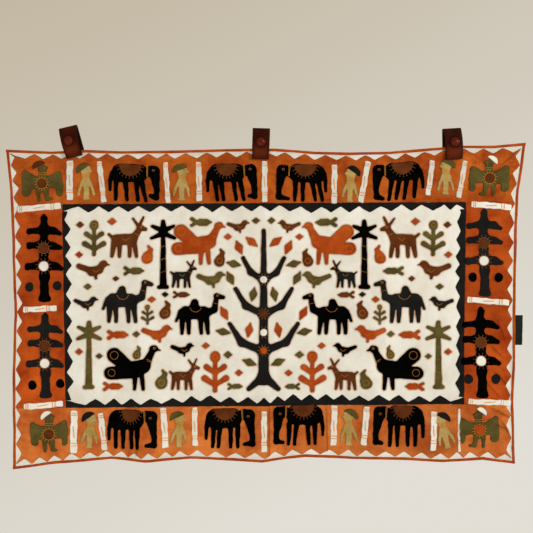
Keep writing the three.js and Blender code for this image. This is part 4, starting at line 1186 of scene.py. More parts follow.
class NodeBoard:
    """The node tree of a material or world, with a short call for each kind of node in it."""

    def __init__(self, stuff: str | bpy.types.World) -> None:
        """Starts an empty tree for a new material of a name, or for a world.

        Args:
            stuff: name of the new material, or the world.
        """
        self.stuff = bpy.data.materials.new(stuff) if isinstance(stuff, str) else stuff
        self.stuff.use_nodes = True
        self.tree = self.stuff.node_tree
        self.tree.nodes.clear()

    def add(self, kind: str, **settings: object) -> bpy.types.Node:
        """Adds a node and sets its properties.

        Args:
            kind: kind of node.
            settings: its properties.

        Returns:
            The node.
        """
        node = self.tree.nodes.new(kind)
        for key, value in settings.items():
            setattr(node, key, value)
        return node

    def feed(self, node: bpy.types.Node, place: int | str, value: object) -> None:
        """Links a socket to an input, or sets the input to a value.

        Args:
            node: the node.
            place: name or number of its input.
            value: socket or value.
        """
        if isinstance(value, Socket):
            self.tree.links.new(value, node.inputs[place])
        else:
            node.inputs[place].default_value = value

    def attribute(self, name: str, output: str = "Vector") -> Socket:
        """Reads an attribute of the piece's mesh."""
        return self.add("ShaderNodeAttribute", attribute_name=name).outputs[output]

    def object_place(self) -> Socket:
        """Place on the object, in metres."""
        return self.add("ShaderNodeTexCoord").outputs["Object"]

    def value_of(self, number: float) -> Socket:
        """A fixed number.

        Args:
            number: the number.

        Returns:
            The number's socket.
        """
        node = self.add("ShaderNodeValue")
        node.outputs[0].default_value = number
        return node.outputs[0]

    def stretched(self, place: Socket, scale: Sequence[float]) -> Socket:
        """The place with each axis scaled.

        Args:
            place: place on the piece.
            scale: factor for each axis.

        Returns:
            The scaled place.
        """
        node = self.add("ShaderNodeMapping")
        self.feed(node, "Vector", place)
        self.feed(node, "Scale", scale)
        return node.outputs["Vector"]

    def noise(self, place: Socket, scale: float, detail: float, rough: float) -> Socket:
        """Soft noise from 0 to 1.

        Args:
            place: place on the piece.
            scale: its scale.
            detail: number of finer layers.
            rough: strength of the finer layers.

        Returns:
            The noise's socket.
        """
        node = self.add("ShaderNodeTexNoise")
        inputs = {"Vector": place, "Scale": scale, "Detail": detail, "Roughness": rough}
        for name, value in inputs.items():
            self.feed(node, name, value)
        return node.outputs["Fac"]

    def voronoi(self, place: Socket, scale: float) -> Socket:
        """Distance to the nearest of many scattered points.

        Args:
            place: place on the piece.
            scale: its scale.

        Returns:
            The distance's socket.
        """
        node = self.add("ShaderNodeTexVoronoi", feature="SMOOTH_F1")
        self.feed(node, "Vector", place)
        self.feed(node, "Scale", scale)
        return node.outputs["Distance"]

    def maths(self, kind: str, first: object, second: object) -> Socket:
        """A sum, difference, product or other function of two values.

        Args:
            kind: the function.
            first: its first value.
            second: its second value.

        Returns:
            The result's socket.
        """
        node = self.add("ShaderNodeMath", operation=kind)
        self.feed(node, 0, first)
        self.feed(node, 1, second)
        return node.outputs[0]

    def spread(
        self, value: object, low: float, high: float, to_low: float = 0.0, to_high: float = 1.0
    ) -> Socket:
        """Maps a range of a value onto another, and holds it there past the ends.

        Args:
            value: the value.
            low: start of its range.
            high: end of its range.
            to_low: result at the start.
            to_high: result at the end.

        Returns:
            The mapped value's socket.
        """
        node = self.add("ShaderNodeMapRange")
        inputs = ("Value", "From Min", "From Max", "To Min", "To Max")
        for name, number in zip(inputs, (value, low, high, to_low, to_high)):
            self.feed(node, name, number)
        return node.outputs["Result"]

    def mix(self, share: object, first: object, second: object) -> Socket:
        """A mixture of two colours.

        Args:
            share: share of the second colour.
            first: first colour.
            second: second colour.

        Returns:
            The mixture's socket.
        """
        node = self.add("ShaderNodeMix", data_type="RGBA")
        self.feed(node, 0, share)
        self.feed(node, 6, first)
        self.feed(node, 7, second)
        return node.outputs[2]

    def brightness(self, colour: object, amount: object) -> Socket:
        """A colour times an amount.

        Args:
            colour: colour or socket.
            amount: factor or socket.

        Returns:
            The colour's socket.
        """
        node = self.add("ShaderNodeVectorMath", operation="SCALE")
        self.feed(node, 0, colour if isinstance(colour, Socket) else tuple(colour)[:3])
        self.feed(node, "Scale", amount)
        return node.outputs[0]

    def weave(self, place: Socket, thread: float) -> Socket:
        """Plain weave, from -1 between the threads to 1 on top of them.

        Args:
            place: place on the piece's own cloth.
            thread: distance between threads in metres.

        Returns:
            The weave's socket.
        """
        turns = self.add("ShaderNodeVectorMath", operation="SCALE")
        self.feed(turns, 0, place)
        self.feed(turns, "Scale", math.pi / thread)
        parts = self.add("ShaderNodeSeparateXYZ")
        self.feed(parts, 0, turns.outputs[0])
        waves = [self.maths("SINE", parts.outputs[axis], 0.0) for axis in (0, 1)]
        return self.maths("MULTIPLY", waves[0], waves[1])

    def finish(
        self,
        base: object,
        roughness: object,
        height: Socket,
        bump: float,
        distance: float,
        sheen: float = 0.0,
        coat: float = 0.0,
        shine: float = 0.5,
    ) -> bpy.types.Material:
        """Ends the tree in one shader.

        Args:
            base: colour.
            roughness: number or socket.
            height: what the bump follows.
            bump: its strength.
            distance: its depth in metres.
            sheen: weight of the cloth's soft sheen.
            coat: weight of a clear coat.
            shine: level of the plain reflection, 0.5 for glass.

        Returns:
            The material.
        """
        relief = self.add("ShaderNodeBump")
        self.feed(relief, "Strength", bump)
        self.feed(relief, "Distance", distance)
        self.feed(relief, "Height", height)
        shader = self.add("ShaderNodeBsdfPrincipled")
        self.feed(shader, "Base Color", base)
        self.feed(shader, "Roughness", roughness)
        self.feed(shader, "Normal", relief.outputs[0])
        shader.inputs["Sheen Weight"].default_value = sheen
        shader.inputs["Sheen Roughness"].default_value = SHEEN_ROUGHNESS
        shader.inputs["Coat Weight"].default_value = coat
        shader.inputs["Coat Roughness"].default_value = COAT_ROUGHNESS
        shader.inputs["Specular IOR Level"].default_value = shine
        out = self.add("ShaderNodeOutputMaterial")
        self.feed(out, "Surface", shader.outputs[0])
        return self.stuff


class Stuffs:
    """Makes each material once."""

    made: dict[object, bpy.types.Material] = {}

    @classmethod
    def of(cls, finish: object) -> bpy.types.Material:
        """The material of a finish.

        Args:
            finish: the finish.

        Returns:
            The material.
        """
        if finish not in cls.made:
            cls.made[finish] = finish.material()
        return cls.made[finish]


# Meshes


@dataclass
class Shell:
    """Points and faces of a piece in the making, with its weave and tone."""

    points: list[Array] = field(default_factory=list)
    faces: list[Array] = field(default_factory=list)
    weave: list[Array] = field(default_factory=list)
    tone: list[Array] = field(default_factory=list)
    count: int = 0

    def add(self, points: Array, faces: Array, weave: Array, tone: Array) -> None:
        """Adds a part.

        Args:
            points: x, y and z of each point in millimetres.
            faces: three or four point numbers for each face.
            weave: place of each point on its own cloth, in metres.
            tone: brightness of each point.
        """
        self.points.append(points)
        self.faces.append(np.asarray(faces) + self.count)
        self.weave.append(weave)
        self.tone.append(tone)
        self.count += len(points)

    def piece(self, name: str, finish: object) -> bpy.types.Object:
        """Makes the piece.

        Args:
            name: name of the object.
            finish: its finish.

        Returns:
            The object, at the origin, with its place in its mesh.
        """
        mesh = bpy.data.meshes.new(name)
        points = np.vstack(self.points) * MM
        faces = [face.tolist() for part in self.faces for face in part]
        mesh.from_pydata(points.tolist(), [], faces)
        mesh.update()
        weave = mesh.attributes.new("weave", "FLOAT_VECTOR", "POINT")
        flat = np.vstack(self.weave)
        weave.data.foreach_set("vector", np.column_stack([flat, np.zeros(len(flat))]).ravel())
        tone = mesh.attributes.new("tone", "FLOAT", "POINT")
        tone.data.foreach_set("value", np.concatenate(self.tone))
        mesh.polygons.foreach_set("use_smooth", np.ones(len(mesh.polygons), bool))
        mesh.materials.append(Stuffs.of(finish))
        piece = bpy.data.objects.new(name, mesh)
        bpy.context.scene.collection.objects.link(piece)
        return piece


def unit_grid(columns: int, rows: int) -> list[Array]:
    """Shares across and up, 0 to 1, of the points of a grid."""
    return np.meshgrid(np.linspace(0, 1, columns + 1), np.linspace(0, 1, rows + 1), indexing="ij")


def slab_faces(columns: int, rows: int) -> Array:
    """Faces of a thin slab: a grid of front points, the same grid behind it, and the rim.

    Args:
        columns: number of faces across.
        rows: number of faces up.

    Returns:
        Four point numbers for each face.
    """
    count = (columns + 1) * (rows + 1)
    index = np.arange(count).reshape(columns + 1, rows + 1)
    quads = np.stack([index[:-1, :-1], index[1:, :-1], index[1:, 1:], index[:-1, 1:]], axis=-1)
    quads = quads.reshape(-1, 4)
    rim = np.concatenate([index[:-1, 0], index[-1, :-1], index[:0:-1, -1], index[0, :0:-1]])
    after = np.roll(rim, -1)
    sides = np.stack([after, rim, rim + count, after + count], axis=1)
    return np.vstack([quads, quads[:, ::-1] + count, sides])


@dataclass(frozen=True)
class PatchForm:
    """Form of a sewn patch: its turned edge, and how its middle lies lower."""

    base: float
    thickness: float = 0.95
    roll: float = 0.9
    allowance: float = 4.6
    sink: float = 0.3
    tuck: float = 0.35
    step: float = 2.0
    fill: float = 5.0
    scallop: float = 0.3
    scallop_pitch: float = 5.6
    wander: float = 0.35
    edge_shade: float = 0.28
    edge_shade_width: float = 1.2
    ring_insets: tuple[float, ...] = (0.4, 1.1, 3.4)
    grid_jitter: float = 0.12
    weave_turn: float = 9.0
    shade_spread: float = 0.05

    def height(self, inside: Array) -> Array:
        """Height of the patch's face above its base at a distance in from its edge.

        Args:
            inside: distance in from the patch's edge.

        Returns:
            The height at each point.
        """
        share = np.clip(inside / self.roll, 0, 1)
        rise = np.sqrt(np.clip(1 - (1 - share) ** 2, 0, 1))
        lower = self.sink * ease(self.allowance - 1.4, self.allowance + 1.6, inside)
        return -self.tuck + (self.thickness + self.tuck) * rise - lower

    def hand_cut(self, outline: Array, seed: int) -> Array:
        """The outline as cut and sewn by hand: a slow wander and a dip at each stitch.

        Args:
            outline: closed line.
            seed: seed of the wander.

        Returns:
            The new counter-clockwise line.
        """
        line = counter_clockwise(resampled(outline, self.step))
        draw = np.random.default_rng(seed)
        along = np.arange(len(line)) * self.step
        shift = self.scallop * np.abs(np.sin(math.pi * along / self.scallop_pitch)) - self.scallop
        for length in (23.0, 41.0, 67.0):
            shift = shift + self.wander * 0.5 * np.sin(math.tau * along / length + draw.uniform(0, 6))
        return line - inward_normals(line) * shift[:, None]

    def add_to(
        self,
        shell: Shell,
        outline: Array,
        seed: int,
        tone: float = 1.0,
        light: Callable[[Array, Array], Array] | None = None,
    ) -> Array:
        """Adds a patch to a shell.

        Args:
            shell: what it is added to.
            outline: its closed outline.
            seed: seed of its wander, weave and shade.
            tone: its brightness.
            light: its brightness at each place, if it changes over the patch.

        Returns:
            The outline as sewn.
        """
        line = self.hand_cut(outline, seed)
        draw = np.random.default_rng(seed + 500)
        normals = inward_normals(line)
        rings = [self.kept(line + normals * inset, line, inset) for inset in self.ring_insets]
        low, high = line.min(axis=0), line.max(axis=0)
        grid = np.stack(
            np.meshgrid(np.arange(low[0], high[0], self.fill), np.arange(low[1], high[1], self.fill)),
            axis=-1,
        ).reshape(-1, 2)
        grid = grid + draw.uniform(-self.grid_jitter, self.grid_jitter, grid.shape) * self.fill
        sharp = DRAPE.crease_points(self.fill * 0.8)
        sharp = sharp[np.all((sharp > low) & (sharp < high), axis=1)]
        if len(sharp):
            apart = np.hypot(*(grid[:, None, :] - sharp[None, :, :]).transpose(2, 0, 1)).min(axis=1)
            grid = np.vstack([grid[apart > self.fill * 0.6], sharp])
        grid = grid[is_inside(grid, line)]
        if len(grid):
            grid = grid[distance_inside(grid, line) > min(self.fill, 5.0)]
        face_points, face = self.triangles(line, np.vstack([*rings, grid]))
        back_points, back = self.triangles(line, grid)
        inside = distance_inside(face_points, line)
        inside[: len(line)] = 0
        depth = DRAPE.depth(*face_points.T) + self.base - self.height(inside)
        under = DRAPE.depth(*back_points.T) + self.base + self.tuck
        turn = math.radians(draw.uniform(-self.weave_turn, self.weave_turn))
        spin = np.array([[math.cos(turn), -math.sin(turn)], [math.sin(turn), math.cos(turn)]])
        origin = draw.uniform(-2, 2, 2)
        shade = tone * draw.uniform(1 - self.shade_spread, 1 + self.shade_spread)
        # Painted shade darkens the face along the patch's edge, and a faint painted highlight brightens the
        # rise just inside it.
        hollow = self.edge_shade * np.exp(-((inside / self.edge_shade_width) ** 2))
        rise_highlight = 0.04 * np.exp(-(((inside - 2.8) / 1.6) ** 2))
        shades = (1 - hollow + rise_highlight) * DRAPE.crease_shade(*face_points.T)
        if light is not None:
            shades = shades * light(*face_points.T)
        count = len(line)
        points = np.column_stack([face_points[:, 0], depth, face_points[:, 1]])
        behind = np.column_stack([back_points[:, 0], under, back_points[:, 1]])[count:]
        back = np.where(back >= count, back - count + len(points), back)
        everything = np.vstack([points, behind])
        shell.add(
            everything,
            np.vstack([face, back[:, ::-1]]),
            everything[:, (0, 2)] * MM @ spin + origin,
            np.concatenate([shade * shades, np.full(len(behind), shade)]),
        )
        return line

    @staticmethod
    def kept(points: Array, line: Array, inset: float) -> Array:
        """The points of a ring that are truly that far inside the line.

        Args:
            points: points of the ring.
            line: the closed line.
            inset: how far inside they should be.

        Returns:
            The kept points.
        """
        inner = points[is_inside(points, line)]
        if not len(inner):
            return inner
        return inner[distance_inside(inner, line) > 0.86 * inset]

    @staticmethod
    def triangles(line: Array, extra: Array) -> tuple[Array, Array]:
        """Fills a closed line with triangles through extra points.

        Args:
            line: the closed line, whose points come first in the result.
            extra: points inside it.

        Returns:
            The points and the counter-clockwise triangles.
        """
        points = np.vstack([line, extra]) if len(extra) else line
        count = len(line)
        coordinates = [Vector((float(x), float(z))) for x, z in points]
        made = delaunay_2d_cdt(coordinates, [], [list(range(count))], 1, 1e-5)
        verts = np.array([tuple(v) for v in made[0]])
        order = np.full(len(verts), -1)
        for index, sources in enumerate(made[3]):
            first = min(sources) if sources else -1
            if 0 <= first < count:
                order[index] = first
        others = np.nonzero(order < 0)[0]
        order[others] = count + np.arange(len(others))
        faces = np.array([[order[i] for i in face] for face in made[2]])
        return np.vstack([line, verts[others].reshape(-1, 2)]), faces


TRIM = PatchForm(
    LAYERS.trim_back, thickness=0.55, roll=0.6, allowance=3.4, sink=0.15, step=1.5, fill=4.0,
    scallop=0.2, scallop_pitch=4.6,
)


@dataclass
class StitchRuns:
    """Lines of stitches that share a thread, a size and a layer."""

    name: str
    thread: Thread
    depth: float
    pitch: float = 3.4
    length: float = 2.8
    width: float = 0.8
    across: bool = False
    lines: list[tuple[Array, bool]] = field(default_factory=list)

    def add(self, points: Array | Sequence[Point], closed: bool = False) -> None:
        """Adds a line of stitches."""
        self.lines.append((np.array(points, float).reshape(-1, 2), closed))

    def add_rays(self, centre: Array, start: float, end: float, count: int, turn: float = 0.0) -> None:
        """Adds short stitches that stand round a rosette.

        Args:
            centre: middle of the rosette.
            start: distance from the middle to a ray's start.
            end: distance to its end.
            count: number of rays.
            turn: angle of the first one.
        """
        for number in range(count):
            angle = math.tau * number / count + turn
            way = np.array([math.cos(angle), math.sin(angle)])
            self.add([centre + way * start, centre + way * end])


class StitchNodes:
    """Geometry Nodes tree that lays stitches along curves."""

    INPUTS = (
        ("Pitch", "NodeSocketFloat"),
        ("Length", "NodeSocketFloat"),
        ("Width", "NodeSocketFloat"),
        ("Across", "NodeSocketFloat"),
        ("Seed", "NodeSocketInt"),
        ("Material", "NodeSocketMaterial"),
    )
    BEAD = {"Segments": 6, "Rings": 3, "Radius": 0.5}
    JITTER = 0.16

    def __init__(self) -> None:
        """Builds the tree."""
        tree = bpy.data.node_groups.new("stitches", "GeometryNodeTree")
        self.tree = tree
        tree.interface.new_socket("Geometry", in_out="INPUT", socket_type="NodeSocketGeometry")
        self.sockets = {
            name: tree.interface.new_socket(name, in_out="INPUT", socket_type=kind).identifier
            for name, kind in self.INPUTS
        }
        tree.interface.new_socket("Geometry", in_out="OUTPUT", socket_type="NodeSocketGeometry")
        start = self.add("NodeGroupInput")
        spaced = self.add("GeometryNodeResampleCurve", mode="LENGTH")
        dots = self.add("GeometryNodeCurveToPoints", mode="EVALUATED")
        bead = self.add("GeometryNodeMeshUVSphere", self.BEAD)
        side = self.add("ShaderNodeVectorMath", {1: (0, 1, 0)}, operation="CROSS_PRODUCT")
        pick = self.add("ShaderNodeMix", data_type="VECTOR")
        limits = {0: (-self.JITTER,) * 3, 1: (self.JITTER,) * 3}
        jitter = self.add("FunctionNodeRandomValue", limits, data_type="FLOAT_VECTOR")
        lean = self.add("ShaderNodeVectorMath", operation="ADD")
        turn = self.add("FunctionNodeAlignRotationToVector", axis="X")
        size = self.add("ShaderNodeCombineXYZ")
        lay = self.add("GeometryNodeInstanceOnPoints")
        real = self.add("GeometryNodeRealizeInstances")
        smooth = self.add("GeometryNodeSetShadeSmooth")
        dress = self.add("GeometryNodeSetMaterial")
        end = self.add("NodeGroupOutput")
        for source, target in (
            (start.outputs["Geometry"], spaced.inputs["Curve"]),
            (start.outputs["Pitch"], spaced.inputs["Length"]),
            (spaced.outputs[0], dots.inputs["Curve"]),
            (dots.outputs["Points"], lay.inputs["Points"]),
            (bead.outputs["Mesh"], lay.inputs["Instance"]),
            (dots.outputs["Tangent"], side.inputs[0]),
            (start.outputs["Across"], pick.inputs[0]),
            (dots.outputs["Tangent"], pick.inputs[4]),
            (side.outputs[0], pick.inputs[5]),
            (start.outputs["Seed"], jitter.inputs["Seed"]),
            (pick.outputs[1], lean.inputs[0]),
            (jitter.outputs[0], lean.inputs[1]),
            (lean.outputs[0], turn.inputs["Vector"]),
            (start.outputs["Length"], size.inputs[0]),
            (start.outputs["Width"], size.inputs[1]),
            (start.outputs["Width"], size.inputs[2]),
            (turn.outputs[0], lay.inputs["Rotation"]),
            (size.outputs[0], lay.inputs["Scale"]),
            (lay.outputs[0], real.inputs[0]),
            (real.outputs[0], smooth.inputs[0]),
            (smooth.outputs[0], dress.inputs[0]),
            (start.outputs["Material"], dress.inputs["Material"]),
            (dress.outputs[0], end.inputs[0]),
        ):
            tree.links.new(source, target)

    def add(
        self, kind: str, values: dict[int | str, object] | None = None, **settings: object
    ) -> bpy.types.Node:
        """Adds a node to the tree.

        Args:
            kind: kind of node.
            values: values of its inputs.
            settings: its properties.

        Returns:
            The node.
        """
        node = self.tree.nodes.new(kind)
        for key, value in settings.items():
            setattr(node, key, value)
        for key, value in (values or {}).items():
            node.inputs[key].default_value = value
        return node

    def piece(self, runs: StitchRuns, seed: int) -> bpy.types.Object:
        """Makes the stitches of some runs as one plain mesh.

        Args:
            runs: the lines of stitches.
            seed: seed of their slight turns.

        Returns:
            The object.
        """
        curve = bpy.data.curves.new(f"{runs.name}_lines", "CURVE")
        curve.dimensions = "3D"
        for points, closed in runs.lines:
            line = resampled(points, 2.0, closed)
            depth = DRAPE.depth(*line.T) + runs.depth
            spline = curve.splines.new("POLY")
            spline.points.add(len(line) - 1)
            places = np.column_stack([line[:, 0], depth, line[:, 1]]) * MM
            spline.points.foreach_set("co", np.column_stack([places, np.ones(len(line))]).ravel())
            spline.use_cyclic_u = closed
        source = bpy.data.objects.new(f"{runs.name}_source", curve)
        bpy.context.scene.collection.objects.link(source)
        nodes = source.modifiers.new("stitches", "NODES")
        nodes.node_group = self.tree
        values = {
            "Pitch": runs.pitch * MM,
            "Length": runs.length * MM,
            "Width": runs.width * MM,
            "Across": 1.0 if runs.across else 0.0,
            "Seed": seed,
            "Material": Stuffs.of(runs.thread.value),
        }
        for name, value in values.items():
            nodes[self.sockets[name]] = value
        graph = bpy.context.evaluated_depsgraph_get()
        mesh = bpy.data.meshes.new_from_object(source.evaluated_get(graph))
        mesh.name = runs.name
        piece = bpy.data.objects.new(runs.name, mesh)
        bpy.context.scene.collection.objects.link(piece)
        bpy.data.objects.remove(source)
        bpy.data.curves.remove(curve)
        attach(piece, "root")
        LOG.info("%s: %d stitch faces", piece.name, len(mesh.polygons))
        return piece


class Workshop:
    """Keeps what the pieces share: their list, the stitches and the numbers of the seeds."""

    def __init__(self) -> None:
        """Starts with no pieces."""
        self.pieces: list[bpy.types.Object] = []
        self.runs: dict[str, StitchRuns] = {}
        self.outlines: dict[tuple[Rod, ...], Array] = {}
        self.seed = 0

    def outline_of(self, rods: tuple[Rod, ...]) -> Array:
        """Outline of a motif about its own foot, worked out once for all its copies.

        Args:
            rods: the motif.

        Returns:
            The closed outline.
        """
        if rods not in self.outlines:
            self.outlines[rods] = trace_outline(rods)
        return self.outlines[rods]

    def next_seed(self) -> int:
        """A new seed."""
        self.seed += 1
        return self.seed

    def run(self, name: str, thread: Thread, depth: float, *sizes: float | bool) -> StitchRuns:
        """The stitches of a name, made on first use; sizes are pitch, length, width and across.

        Args:
            name: name of the piece.
            thread: its thread.
            depth: its depth over the cloth.
            sizes: pitch, length, width and whether the stitches lie across the line.

        Returns:
            The stitches.
        """
        if name not in self.runs:
            self.runs[name] = StitchRuns(name, thread, depth, *sizes)
        return self.runs[name]

    def keep(
        self, shell: Shell, name: str, cloth: Cloth, nodes: Iterable[str] = ()
    ) -> bpy.types.Object:
        """Makes a shell's piece, rides it and hides the solids that it stands for.

        Args:
            shell: the mesh in the making.
            name: name of the piece.
            cloth: its cotton.
            nodes: the solids that it stands for.

        Returns:
            The piece.
        """
        piece = shell.piece(name, cloth.value)
        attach(piece, "root")
        for node in nodes:
            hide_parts(node)
        self.pieces.append(piece)
        LOG.info("%s: %d faces", name, len(piece.data.polygons))
        return piece


# The ground cloth and what is sewn along its edges


@dataclass
class GroundCloth:
    """White cotton sheet that everything else is sewn on."""

    cell: float = 5.2
    inset: float = 2.4
    quilt: float = 0.5
    quilt_width: float = 9.0
    border_darkening: float = 0.09
    corner_darkening: float = 0.12

    def build(self, shop: Workshop, sewn: Sequence[Array]) -> bpy.types.Object:
        """Makes the sheet, which puffs up slightly between the patches sewn on it.

        Args:
            shop: the workshop.
            sewn: outlines of the patches on the white field.

        Returns:
            The sheet.
        """
        top_left, top_right = corner("left", "top", self.inset), corner("right", "top", self.inset)
        bottom_left = corner("left", "bottom", self.inset)
        columns = round((top_right[0] - top_left[0]) / self.cell)
        rows = round((top_left[1] - bottom_left[1]) / self.cell)
        x, z = self.laid_out(*unit_grid(columns, rows))
        flat = np.column_stack([x.ravel(), z.ravel()])
        relief = self.puffs(flat, sewn)
        depth = DRAPE.depth(*flat.T)
        front = np.column_stack([flat[:, 0], depth + LAYERS.ground_front - relief, flat[:, 1]])
        back = np.column_stack([flat[:, 0], depth + LAYERS.ground_back, flat[:, 1]])
        shell = Shell()
        shell.add(
            np.vstack([front, back]),
            slab_faces(columns, rows),
            np.vstack([flat, flat]) * MM,
            np.concatenate([self.shade(flat), np.ones(len(flat))]),
        )
        return shop.keep(shell, "ground_sheet", Cloth.WHITE, ["ground_cloth"])

    def shade(self, flat: Array) -> Array:
        """Brightness of the cloth: its border is a little darker, most at the top, where it is painted
        shade, and towards the lower right.

        Args:
            flat: x and z of the points.

        Returns:
            The brightness at each point.
        """
        x, z = flat.T
        # Painted shade darkens the top strip twice over; the other borders and the lower right corner are
        # only made a little darker.
        top = ease(-52, -20, z)
        rim = np.maximum.reduce([top, ease(-560, -585, x), ease(570, 595, x), ease(-720, -740, z)])
        lower_right_corner = ease(480, 590, x) * ease(-380, -520, z)
        return 1 - self.border_darkening * rim - self.border_darkening * top - self.corner_darkening * lower_right_corner * rim

    def laid_out(self, across: Array, up: Array) -> tuple[Array, Array]:
        """Places of a grid that fills the cloth's outline.

        Args:
            across: shares of the width.
            up: shares of the height.

        Returns:
            x and z of each grid point.
        """
        low_x, high_x = corner("left", "top", self.inset)[0], corner("right", "top", self.inset)[0]
        x = low_x + across * (high_x - low_x)
        z = np.zeros_like(x)
        for _ in range(3):
            top = SIDES["top"].edge_at(x) - self.inset
            bottom = SIDES["bottom"].edge_at(x) + self.inset
            z = bottom + up * (top - bottom)
            left = SIDES["left"].edge_at(z) + self.inset
            right = SIDES["right"].edge_at(z) - self.inset
            x = left + across * (right - left)
        return x, z

    def puffs(self, flat: Array, sewn: Sequence[Array]) -> Array:
        """How far the cloth puffs up at each point, least where patches are sewn down.

        Args:
            flat: x and z of the points.
            sewn: outlines of the patches.

        Returns:
            The height at each point.
        """
        nearest = np.full(len(flat), 1e3)
        for line in sewn:
            low, high = line.min(axis=0) - 2 * self.quilt_width, line.max(axis=0) + 2 * self.quilt_width
            close = np.nonzero(((flat > low) & (flat < high)).all(axis=1))[0]
            if len(close):
                nearest[close] = np.minimum(nearest[close], distance_inside(flat[close], line[::2]))
                within = close[is_inside(flat[close], line)]
                nearest[within] = 0
        in_field = (
            (flat[:, 0] > FIELD["top_left"][0])
            & (flat[:, 0] < FIELD["top_right"][0])
            & (flat[:, 1] < FIELD["top_left"][1])
            & (flat[:, 1] > FIELD["bottom_left"][1])
        )
        return np.where(in_field, self.quilt * ease(0, self.quilt_width, nearest) - 0.1, 0.0)


@dataclass
class Binding:
    """Rolled rust strips round the cloth's edge."""

    width: float = BINDING_WIDTH
    step: float = 4.0
    corner_gap: float = 1.2
    puckers: float = 0.22
    round_steps: int = 14

    def build(self, shop: Workshop) -> list[bpy.types.Object]:
        """Makes the four strips.

        Args:
            shop: the workshop.

        Returns:
            The strips.
        """
        meet = self.width + self.corner_gap
        strips = []
        for across in ("top", "bottom"):
            ends = [corner(down, across, 0)[0] for down in ("left", "right")]
            strips.append(self.strip(shop, across, *ends))
        for down in ("left", "right"):
            top, bottom = (corner(down, across, 0)[1] for across in ("top", "bottom"))
            strips.append(self.strip(shop, down, top - meet + 2, bottom + meet - 2))
        return strips

    def strip(self, shop: Workshop, side: str, start: float, end: float) -> bpy.types.Object:
        """Makes one strip as a round edged roll that follows the cloth's edge.

        Args:
            shop: the workshop.
            side: side of the cloth.
            start: place along the side where it starts.
            end: place where it ends.

        Returns:
            The strip.
        """
        draw = np.random.default_rng(shop.next_seed())
        places = np.linspace(start, end, max(2, round(abs(end - start) / self.step)))
        middle_depth = (LAYERS.binding_back + LAYERS.patch_front) / 2
        half_depth = (LAYERS.binding_back - LAYERS.patch_front) / 2
        turn = np.linspace(0, math.tau, self.round_steps, endpoint=False)
        level = np.sign(np.cos(turn)) * np.abs(np.cos(turn)) ** 0.55
        out = np.sign(np.sin(turn)) * np.abs(np.sin(turn)) ** 0.7
        rings = []
        phases = draw.uniform(0, 6, 4)
        for number, place in enumerate(places):
            run = number * self.step
            swell = self.puckers * (
                math.sin(run / 2.9 + phases[0]) + 0.6 * math.sin(run / 6.7 + phases[1])
            )
            wander = 0.35 * math.sin(run / 31 + phases[2]) + 0.25 * math.sin(run / 13 + phases[3])
            inset = self.width / 2 * (1 - level) + wander * (1 - level) / 2
            edge = float(SIDES[side].edge_at(place))
            across = edge + SIDES[side].inwards * inset
            along = np.full(self.round_steps, place)
            x, z = (along, across) if SIDES[side].across else (across, along)
            depth = DRAPE.depth(x, z) + middle_depth - out * (half_depth + 0.12 + swell * (out > 0))
            rings.append(np.column_stack([x, depth, z]))
        points = np.vstack(rings)
        count, around = len(places), self.round_steps
        index = np.arange(count * around).reshape(count, around)
        nxt = np.roll(index, -1, axis=1)
        quads = np.stack([index[:-1], nxt[:-1], nxt[1:], index[1:]], axis=-1).reshape(-1, 4)
        flip = (SIDES[side].inwards > 0) == SIDES[side].across
        flip = flip != (end < start)
        quads = quads[:, ::-1] if flip else quads
        shell = Shell()
        weave = np.column_stack([np.repeat(np.arange(count) * self.step, around), np.tile(turn * 2, count)])
        shade = 1 + 0.05 * np.sin(np.repeat(np.arange(count) * self.step, around) / 17 + phases[0])
        shell.add(points, quads, weave * MM, shade)
        for first, ring_index in ((True, index[0]), (False, index[-1])):
            centre = points[ring_index].mean(axis=0)
            rim = np.arange(around)
            fan = np.stack([np.full(around, around), rim, np.roll(rim, -1)], axis=1)
            fan = fan if first == flip else fan[:, ::-1]
            ends = np.vstack([points[ring_index], centre])
            shell.add(ends, fan, np.zeros((around + 1, 2)), np.ones(around + 1))
        return shop.keep(shell, f"binding_roll_{side}", Cloth.RUST, [f"binding_{side}"])


